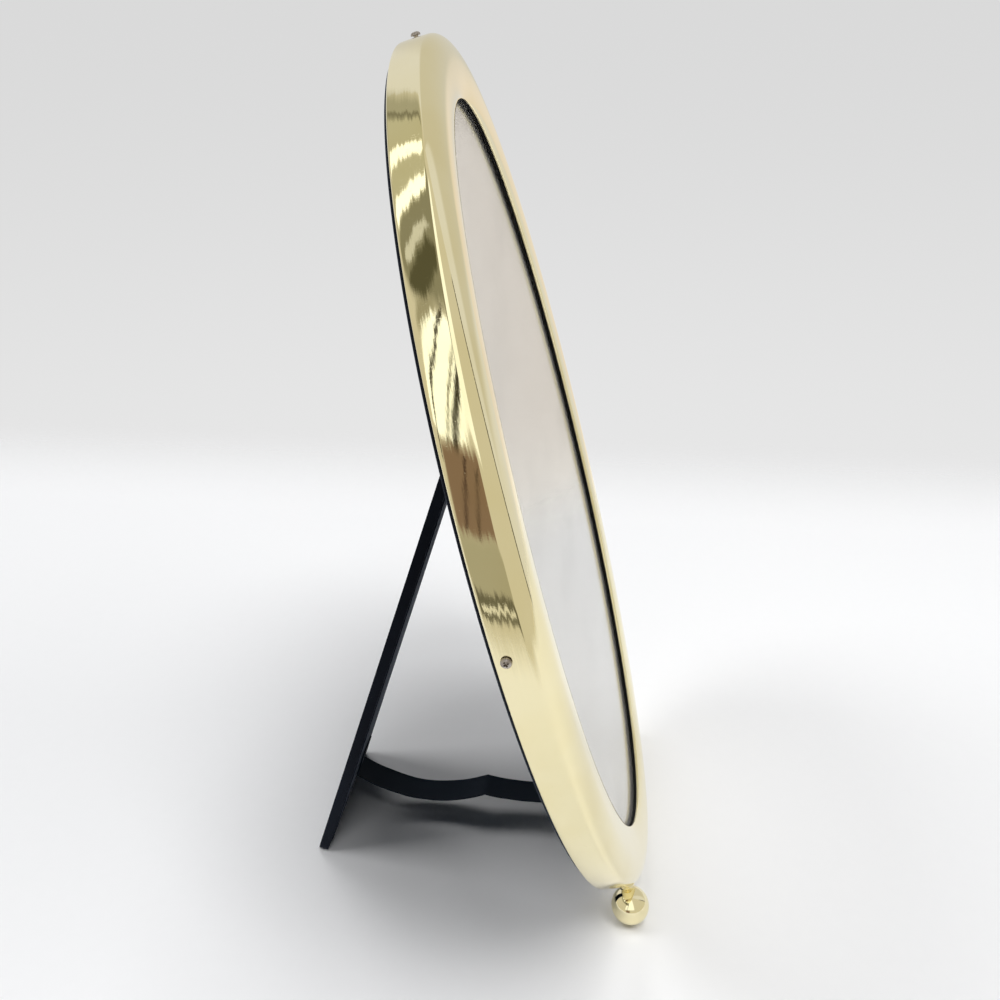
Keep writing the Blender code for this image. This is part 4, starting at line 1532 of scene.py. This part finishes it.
@dataclass
class BallFoot:
    """A turned brass ball on a short neck, with its collar against the rim.

    Each of the neck's turns has how far it stands out and its share of the neck's length.
    """

    side: Side
    oval: Oval
    space: Matrix
    lowest_deg: float = 270.0
    angle_deg: float = 24.0
    level: float = 3.0 * MM
    seat: float = 0.2 * MM
    radius: float = 4.55 * MM
    neck_radius: float = 1.75 * MM
    neck_length: float = 1.2 * MM
    neck_turns: Sequence[Point] = ((0.05 * MM, 0.8), (-0.06 * MM, 0.45), (-0.02 * MM, 0.1),
                                   (-0.12 * MM, 0.0))
    fillet: float = 0.07
    bore: float = 0.9 * MM
    bore_depth: float = 4.5 * MM
    collar_radius: float = 2.45 * MM
    collar_thickness: float = 0.9 * MM
    collar_clearance: float = 0.1 * MM
    groove: Point = (0.25 * MM, 0.4 * MM)
    groove_depth: float = 0.1 * MM
    ball_rows: int = 44
    ball_steps: int = 72
    bead_rows: int = 12
    collar_steps: int = 48

    def ball_profile(self) -> list[Point]:
        """Make the ball's profile with its neck, and the blind bore for the stud.

        Returns:
            Radius and height, from the ball's low end up to the end of the bore.
        """
        neck_top = 2 * self.seat + self.collar_thickness
        reach = math.sqrt(self.radius ** 2 - self.neck_radius ** 2)
        meet = -math.acos(self.neck_radius / self.radius)
        ball = arc((0.0, neck_top + self.neck_length + reach), (self.radius, self.radius),
                   QUARTER_TURN, meet + self.fillet, self.ball_rows)
        neck = [(self.neck_radius + out, neck_top + self.neck_length * share)
                for out, share in self.neck_turns]
        return [*ball, *neck, (self.bore, neck_top), (self.bore, neck_top + self.bore_depth),
                (0.0, neck_top + self.bore_depth + self.bore / 2)]

    def collar_profile(self) -> list[Point]:
        """Make the collar's closed profile, a bead with a groove on its outer face.

        Returns:
            Radius and height of each point.
        """
        half = self.collar_thickness / 2
        crest = self.collar_radius - half
        top = self.seat + 2 * half
        near, far = self.groove
        inside = self.bore + self.collar_clearance
        bead = arc((crest, self.seat + half), (half, half), QUARTER_TURN, -QUARTER_TURN,
                   self.bead_rows)
        return [(inside, top - self.groove_depth), (crest - far, top - self.groove_depth),
                (crest - near, top), *bead, (inside, self.seat)]

    def build(self, finishes: Finishes) -> list[Piece]:
        """Make the ball and the collar.

        Args:
            finishes: The object's finishes.

        Returns:
            The ball and the collar.
        """
        turn = self.lowest_deg + self.side.sign * self.angle_deg
        place = self.space @ self.oval.wall_space(turn, self.level)
        side = self.side.value
        pieces = []
        for name, node, profile, steps, closed in (
            ("brass_ball", "ball_foot", self.ball_profile(), self.ball_steps, False),
            ("brass_collar", "foot_collar", self.collar_profile(), self.collar_steps, True),
        ):
            piece = turned_piece(f"{name}_{side}", profile, steps, place, closed)
            pieces.append(dress(piece, finishes.turned_brass, Body.FRAME,
                                [f"{node}_{side}"]))
        return pieces


@dataclass
class EaselStrut:
    """The velvet wrapped strut board with the cloth lining on its inner face."""

    stance: Stance
    top_width: float = 22.0 * MM
    foot_width: float = 41.0 * MM
    corner: float = 2.5 * MM
    top: float = -1.8 * MM
    seat: float = 0.2 * MM
    back: float = -2.2 * MM
    front: float = 0.1 * MM
    hem_thickness: float = 0.17 * MM
    hem_width: float = 4.0 * MM
    wrap: float = 0.5 * MM
    pocket_back: float = -1.7 * MM
    foot_wrap: float = 1.2 * MM
    overlap: float = 0.01 * MM
    clear: float = 0.1 * MM
    floor_reach: float = 200.0 * MM
    lining_back: float = 0.3 * MM
    lining_front: float = 0.6 * MM
    lining_margin: float = 1.6 * MM
    lining_edge: float = 0.12 * MM
    soft_edge: float = 0.95 * MM
    soft_segments: int = 5

    def reach(self) -> float:
        """Distance from the pin to the strut's lowest corner, before the floor cuts it."""
        return self.stance.foot_reach(self.back) + self.seat

    def wall(self) -> float:
        """Thickness of the wrap at the foot, with the part that the floor cuts away."""
        return self.reach() - self.stance.foot_reach(self.front) + self.foot_wrap

    def outline(self, foot: float, sides: float, top: float) -> list[Point]:
        """Make the strut's outline.

        Args:
            foot: How far its foot moves in.
            sides: How far its two sides move in.
            top: How far its top moves in.

        Returns:
            The points of the outline.
        """
        half_foot = self.foot_width / 2
        half_top = self.top_width / 2
        corners = [(-half_foot, -self.reach()), (half_foot, -self.reach()),
                   (half_top, self.top), (-half_top, self.top)]
        return rounded_outline(corners, (self.corner,) * 4, (foot, sides, top, sides))

    def pieces(self, finishes: Finishes) -> tuple[Piece, Piece]:
        """Make the wrap and the lining.

        Args:
            finishes: The object's finishes.

        Returns:
            The dressed wrap and lining.
        """
        space = self.stance.strut_space()
        wall = self.wall()
        hem = self.hem_width
        margin = self.lining_margin
        hem_front = self.front + self.hem_thickness
        wrap = plate_piece("strut_wrap", self.outline(0.0, 0.0, 0.0), self.back, hem_front, space)
        ground = box_outline((-self.floor_reach,) * 2, (self.floor_reach,) * 2)
        carve(wrap, [plate_piece("floor_cut", ground, -self.floor_reach, 0.0,
                                 Matrix.Identity(4))])
        round_edges(wrap, self.soft_edge, self.soft_segments)
        pocket = plate_piece("pocket", self.outline(wall, self.wrap, self.wrap),
                             self.pocket_back, self.front + self.overlap, space)
        window = plate_piece("window", self.outline(wall + hem, hem, hem),
                             self.front - self.overlap, hem_front + self.clear, space)
        carve(wrap, [pocket, window])
        dress(wrap, finishes.velvet, Body.STRUT, ["strut_velvet"])
        lining = plate_piece("strut_lining_cloth", self.outline(wall + margin, margin, margin),
                             self.lining_back, self.lining_front, space, self.lining_edge)
        return wrap, dress(lining, finishes.lining, Body.STRUT, ["strut_lining"])

    def build(self, finishes: Finishes) -> list[Piece]:
        """Make the wrap and the lining, and log the size that the lining's cloth is cut to.

        Args:
            finishes: The object's finishes.

        Returns:
            The wrap and the lining.
        """
        wrap, lining = self.pieces(finishes)
        length = self.reach() + self.top
        margins = 2 * self.lining_margin
        inner = (self.foot_width - margins, length - margins - self.wall())
        LOG.info("strut: lining cut %.0f x %.0f mm", inner[0] / MM, inner[1] / MM)
        return [wrap, lining]


@dataclass
class StayRibbon:
    """The ribbon between the back and the strut, with the crease of its fold."""

    stance: Stance
    width: float = 7.8 * MM
    thickness: float = 0.3 * MM
    reach: float = 120.6 * MM
    tab: float = 8.0 * MM
    strut_lobe: float = 5.0 * MM
    board_lobe: float = 2.3 * MM
    crease_share: float = 0.48
    crease_drop: float = 2.8 * MM
    board_level: float = -1.35 * MM
    strut_level: float = 1.05 * MM
    tab_level: float = 0.94 * MM
    tab_slack: float = 0.2
    cup: float = 0.10 * MM
    cup_middle: float = 0.33
    edge_share: float = 0.82
    edge_bead: float = 0.35
    edge_thickness: float = 1.25
    ripple: float = 0.22 * MM
    ripples_across: float = 90.0
    ripples_along: float = 150.0
    ripple_place: float = 3.1
    folded_share: float = 0.001
    lobe_steps: int = 30
    board_tab_steps: int = 6
    strut_tab_steps: int = 8
    columns: int = 12

    def board_end(self) -> Vector:
        """Y and Z of frame space where the ribbon leaves the back."""
        return Vector((self.stance.hinge_height - self.reach, self.board_level))

    def route(self) -> list[Vector]:
        """Make the ribbon's line, from the back to the strut.

        Returns:
            Y and Z of frame space of each point.
        """
        pin = Vector((self.stance.hinge_height, self.stance.hinge_level))
        lean = math.radians(self.stance.lean_deg)
        down = Vector((-math.cos(lean), -math.sin(lean)))
        board_end = self.board_end()
        strut_end = pin + (Matrix.Rotation(math.radians(self.stance.open_deg), 2)
                           @ Vector((-self.reach, self.strut_level)))
        crease = board_end.lerp(strut_end, self.crease_share) + down * self.crease_drop
        points = [board_end + Vector((self.tab * (1 - index / self.board_tab_steps), 0.0))
                  for index in range(self.board_tab_steps)]
        for start, end, sag in ((board_end, crease, self.board_lobe),
                                (crease, strut_end, self.strut_lobe)):
            for index in range(self.lobe_steps):
                share = index / self.lobe_steps
                points.append(start.lerp(end, share) + down * sag * 4 * share * (1 - share))
        return points + [strut_end]

    def section(self, slack: float) -> list[Point]:
        """Make the ribbon's cross section, with thicker woven edges.

        Args:
            slack: Share of the full cup that it has.

        Returns:
            X and height of each point, along the upper face and back along the lower one.
        """
        upper = []
        for index in range(self.columns + 1):
            share = index / self.columns * 2 - 1
            edge = max(0.0, (abs(share) - self.edge_share) / (1 - self.edge_share))
            upper.append((share * self.width / 2,
                          slack * self.cup * (share * share - self.cup_middle)
                          + self.thickness / 2 * (1.0 + self.edge_bead * edge)))
        inside = self.width / 2 * self.edge_share
        lower = [(x, z - self.thickness * (1.0 if abs(x) < inside else self.edge_thickness))
                 for x, z in reversed(upper)]
        return upper + lower

    def strip(self, name: str, line: Sequence[Vector], space: Matrix, slack: float) -> Piece:
        """Make a strip of ribbon along a line.

        Args:
            name: The strip's name.
            line: Y and Z of each point of its middle line.
            space: The space that the line is given in.
            slack: Share of the full cup and ripple that it has.

        Returns:
            The strip.
        """
        section = self.section(slack)
        vertices = []
        across = []
        run = 0.0
        for index, point in enumerate(line):
            before = line[max(index - 1, 0)]
            after = line[min(index + 1, len(line) - 1)]
            run += (point - before).length
            along = (after - before).normalized()
            up = Vector((-along.y, along.x))
            for x, z in section:
                spot = (x * self.ripples_across, run * self.ripples_along, self.ripple_place)
                ripple = slack * self.ripple * noise.noise(Vector(spot))
                vertices.append((x, *(point + up * (z + ripple))))
                across.append(run - (space @ Vector(vertices[-1])).z)
        faces = tube_faces(len(line), len(section))
        return make_piece(name, vertices, faces, space, RIBBON_SHARP_DEG, across)

    def build(self, finishes: Finishes) -> list[Piece]:
        """Make the free ribbon, laid in its creased line, and its tab on the strut.

        Args:
            finishes: The object's finishes.

        Returns:
            The free ribbon and the tab.
        """
        space = self.stance.frame_space()
        line = self.route()
        ribbon = self.strip("stay_ribbon", line, space, 1.0)
        dress(ribbon, finishes.ribbon, Body.FRAME, ["ribbon"])
        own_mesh(ribbon)
        tab_line = [Vector((self.tab * index / self.strut_tab_steps - self.reach, self.tab_level))
                    for index in range(self.strut_tab_steps + 1)]
        tab = self.strip("ribbon_tab", tab_line, self.stance.strut_space(), self.tab_slack)
        dress(tab, finishes.ribbon, Body.STRUT)
        length = sum((second - first).length for first, second in pairwise(line)) + self.tab
        LOG.info("ribbon: %.1f mm long with both tabs", length / MM)
        return [ribbon, tab]


@dataclass(frozen=True)
class Band:
    """A patch of the studio that polished metal shows, by compass and height in degrees."""

    name: str
    start: float
    end: float
    low: float
    high: float
    colour: Colour
    soft: float = 1.5
    slant: float = 0.0


@dataclass(frozen=True)
class Lamp:
    """A soft square lamp, with its place, the length of its side and its power in watts."""

    name: str
    place: Place
    side: float
    power: float


@dataclass
class Studio:
    """Pale floor, soft lamps, the surround that metal reflects, and the camera."""

    floor_radius: float = 0.62
    floor_sides: int = 96
    floor_centre: Place = (0.06, 0.0, 0.0)
    floor_fade: Point = (0.42, 0.54)
    floor_far: Point = (0.20, 0.33)
    floor_near: Point = (-0.30, -0.20)
    floor_colour: Colour = (0.86, 0.86, 0.865)
    floor_grain: Grain = Grain(300.0, 2.0)
    floor_shade: float = 0.985
    backdrop_ends: Point = (-24.0, 8.0)
    backdrop_high: Colour = (0.70, 0.70, 0.70)
    backdrop_low: Colour = (0.80, 0.80, 0.80)
    ambient: Colour = (0.032, 0.038, 0.046)
    sweep: Colour = (0.80, 0.80, 0.82)
    camera_place: Place = (-0.192865, -0.024123, 0.178723)
    camera_right: Place = (0.107579, -0.994196, -0.001229)
    camera_up: Place = (0.390787, 0.041149, 0.919561)
    camera_forward: Place = (0.914173, 0.099406, -0.392946)
    camera_lens: float = 31.434
    camera_clip: Point = (0.01, 20.0)
    lamp_target: Place = (0.0, 0.0, 0.06)
    lamps: Sequence[Lamp] = (
        Lamp("near_key", (-0.605, -0.545, 1.827), 0.8, 17.8),
        Lamp("front_low", (-0.24, -1.715, 1.0), 1.6, 13.4),
        Lamp("front_high", (0.225, -0.39, 1.949), 0.5, 7.6),
        Lamp("far_high", (0.94, 0.342, 1.732), 0.7, 7.8),
        Lamp("rear_low", (-0.045, 1.285, 1.532), 0.8, 12.8),
    )
    bands: Sequence[Band] = (
        Band("room", 70.0, 291.0, -90.0, 90.0, (0.70, 0.67, 0.58), 1.0, 0.45),
        Band("corner_line", 288.8, 291.6, -14.0, 40.0, (0.10, 0.10, 0.08), 0.5, 0.45),
        Band("far_wall_left", 300.0, 380.0, 2.0, 97.0, (0.66, 0.64, 0.58), 5.0),
        Band("far_wall_right", -20.0, 20.0, 2.0, 97.0, (0.66, 0.64, 0.58), 5.0),
        Band("far_haze", 339.0, 356.0, -70.0, 8.0, (0.87, 0.79, 0.70), 4.0),
        Band("far_table", 322.0, 356.0, -70.0, -17.0, (1.12, 1.08, 1.0), 5.0),
        Band("ceiling_edge", 47.0, 66.0, 25.0, 76.0, (0.42, 0.41, 0.33), 6.0),
        Band("ceiling", 62.0, 163.0, 40.0, 78.0, (0.28, 0.27, 0.20), 3.0),
        Band("near_ceiling", 64.0, 122.0, 44.0, 78.0, (0.56, 0.545, 0.43), 2.0),
        Band("beam", 58.8, 62.0, 45.0, 75.0, (0.24, 0.23, 0.17), 1.4),
        Band("first_strip", 84.0, 94.5, 48.0, 74.0, (1.6, 1.62, 1.6)),
        Band("second_strip", 111.5, 120.5, 48.0, 70.0, (1.6, 1.62, 1.6)),
        Band("third_strip", 131.5, 136.5, 46.0, 57.0, (0.70, 0.70, 0.66), 1.0),
        Band("soffit", 138.5, 148.5, 40.5, 54.0, (0.105, 0.10, 0.06), 1.5),
        Band("high_wall", 145.0, 151.5, 33.0, 41.0, (0.38, 0.36, 0.27), 2.0),
        Band("window", 149.0, 166.0, 12.5, 38.0, (1.45, 1.5, 1.5), 1.0),
        Band("left_post", 153.2, 154.6, 6.0, 40.0, (0.05, 0.045, 0.03), 0.5),
        Band("middle_post", 160.0, 160.7, 6.0, 40.0, (0.18, 0.17, 0.12), 0.3),
        Band("right_post", 161.8, 163.8, 8.0, 50.0, (0.05, 0.045, 0.03), 0.5),
        Band("near_window", 165.0, 204.0, 16.0, 80.0, (1.25, 1.27, 1.25), 2.0),
        Band("warm_card", 156.0, 176.0, -7.5, 11.5, (0.26, 0.18, 0.135), 2.0),
        Band("card_gap", 165.0, 165.8, -6.0, 10.0, (0.08, 0.05, 0.04), 0.4),
        Band("second_gap", 168.6, 169.2, -7.0, 8.0, (0.10, 0.07, 0.05), 0.4),
        Band("low_wall", 150.0, 188.0, -19.0, -7.0, (0.44, 0.42, 0.33), 2.0),
        Band("skirting", 160.0, 192.0, -24.0, -18.0, (0.16, 0.15, 0.11), 1.0),
        Band("cable", 164.0, 180.0, -22.0, -20.6, (0.9, 0.88, 0.8), 0.6),
    )

    def lay_floor(self) -> None:
        """Lay the round floor, which fades into the backdrop at its edge."""
        sheet = NodeSheet("studio_floor")
        shade_colour = tuple(self.floor_shade * channel for channel in self.floor_colour)
        x = sheet.parts(sheet.spot)[0]
        away = sheet.join("ShaderNodeVectorMath", {0: sheet.spot, 1: self.floor_centre}, "Value",
                          operation="DISTANCE")
        shown = sheet.times(sheet.spread(away, *self.floor_fade, 1.0, 0.0),
                            sheet.spread(x, *self.floor_near))
        sheet.look(
            Base_Color=sheet.tint(sheet.noise(self.floor_grain), self.floor_colour, shade_colour),
            Roughness=0.55, Specular_IOR_Level=0.25,
            Alpha=sheet.times(shown, sheet.spread(x, *self.floor_far, 1.0, 0.0)))
        vertices = [(self.floor_centre[0] + self.floor_radius * math.cos(turn),
                     self.floor_centre[1] + self.floor_radius * math.sin(turn), 0.0)
                    for turn in turns(self.floor_sides)]
        floor = make_piece("studio_floor", vertices, [tuple(range(self.floor_sides))],
                           Matrix.Identity(4))
        floor.data.materials.append(sheet.material)

    def hang_lamps(self) -> None:
        """Hang the soft lamps, which metal and glass don't mirror."""
        for lamp in self.lamps:
            data = bpy.data.lights.new(lamp.name, "AREA")
            data.size = lamp.side
            data.energy = lamp.power
            hung = placed(lamp.name, data)
            hung.location = lamp.place
            aim = Vector(self.lamp_target) - Vector(lamp.place)
            hung.rotation_mode = "QUATERNION"
            hung.rotation_quaternion = aim.to_track_quat("-Z", "Y")
            hung.visible_glossy = False
            hung.visible_transmission = False

    def mirrored_room(self, pen: NodePen, height: Output) -> Output:
        """Lay the bands over each other by compass and height.

        Args:
            pen: The world's nodes.
            height: The ray's height in degrees.

        Returns:
            The colour that metal and glass mirror.
        """
        x, y, _ = pen.parts(pen.spot)
        compass = pen.times(pen.maths("ARCTAN2", y, x), math.degrees(1.0))
        wrapped = pen.times(pen.maths("LESS_THAN", compass, 0.0), 360.0)
        compass = pen.maths("ADD", compass, wrapped)
        shown: Colour | Output = self.sweep
        for band in self.bands:
            turn = compass
            if band.slant:
                turn = pen.maths("ADD", compass, pen.times(height, band.slant))
            share = pen.times(pen.within(turn, band.start, band.end, band.soft),
                              pen.within(height, band.low, band.high, band.soft))
            shown = pen.tint(share, shown, band.colour)
        return shown

    def surround(self) -> None:
        """Make the world: backdrop for the camera, bands for metal and glass, plain light else."""
        world = bpy.data.worlds.new("studio_surround")
        bpy.context.scene.world = world
        world.use_nodes = True
        world.node_tree.nodes.clear()
        pen = NodePen(world.node_tree, "Generated")
        rise = pen.maths("ARCSINE", pen.parts(pen.spot)[2])
        height = pen.times(rise, math.degrees(1.0))
        path = pen.add("ShaderNodeLightPath", {}).outputs
        mirrored = pen.maths("MAXIMUM", path["Is Glossy Ray"], path["Is Transmission Ray"])
        seen = pen.tint(mirrored, self.ambient, self.mirrored_room(pen, height))
        backdrop = pen.tint(pen.spread(height, *self.backdrop_ends), self.backdrop_low,
                            self.backdrop_high)
        seen = pen.tint(path["Is Camera Ray"], seen, backdrop)
        background = pen.join("ShaderNodeBackground", {"Color": seen})
        pen.add("ShaderNodeOutputWorld", {"Surface": background})

    def set_camera(self) -> None:
        """Set the camera at the photograph's viewing angle."""
        data = bpy.data.cameras.new("camera")
        data.lens = self.camera_lens
        data.clip_start, data.clip_end = self.camera_clip
        back = Vector(self.camera_forward) * -1.0
        axes = Matrix((Vector(self.camera_right), Vector(self.camera_up), back))
        matrix = axes.transposed().to_4x4()
        matrix.translation = self.camera_place
        camera = placed("camera", data)
        camera.matrix_world = matrix
        bpy.context.scene.camera = camera

    def build(self) -> None:
        """Set the whole studio up."""
        self.set_camera()
        self.lay_floor()
        self.hang_lamps()
        self.surround()
        bpy.context.scene.view_settings.view_transform = "Standard"
        LOG.info("studio: %d lamps, %d bands in the surround", len(self.lamps), len(self.bands))


def main() -> None:
    """Dress the frame, one sub-assembly after another, and report each piece."""
    logging.basicConfig(level=logging.INFO, format="%(message)s")
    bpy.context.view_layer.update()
    Studio().build()
    finishes = Finishes()
    oval = Oval()
    stance = Stance()
    space = stance.frame_space()
    hinge = ButtHinge(stance.pin_space(), stance.strut_space())
    for assembly in (
        BrassBezel(oval, space),
        CarriedSolids(),
        BackCover(oval, space, hinge),
        RimScrew("top", 90.0, oval, space, rise=0.6 * MM),
        RimScrew("left", 179.3, oval, space),
        RimScrew("right", 0.7, oval, space),
        *(BallFoot(side, oval, space) for side in Side),
        hinge,
        EaselStrut(stance),
        StayRibbon(stance),
    ):
        for piece in assembly.build(finishes):
            LOG.info("%s: %s, %d faces", piece.name, piece.data.materials[0].name,
                     len(piece.data.polygons))


if __name__ == "__main__":
    main()
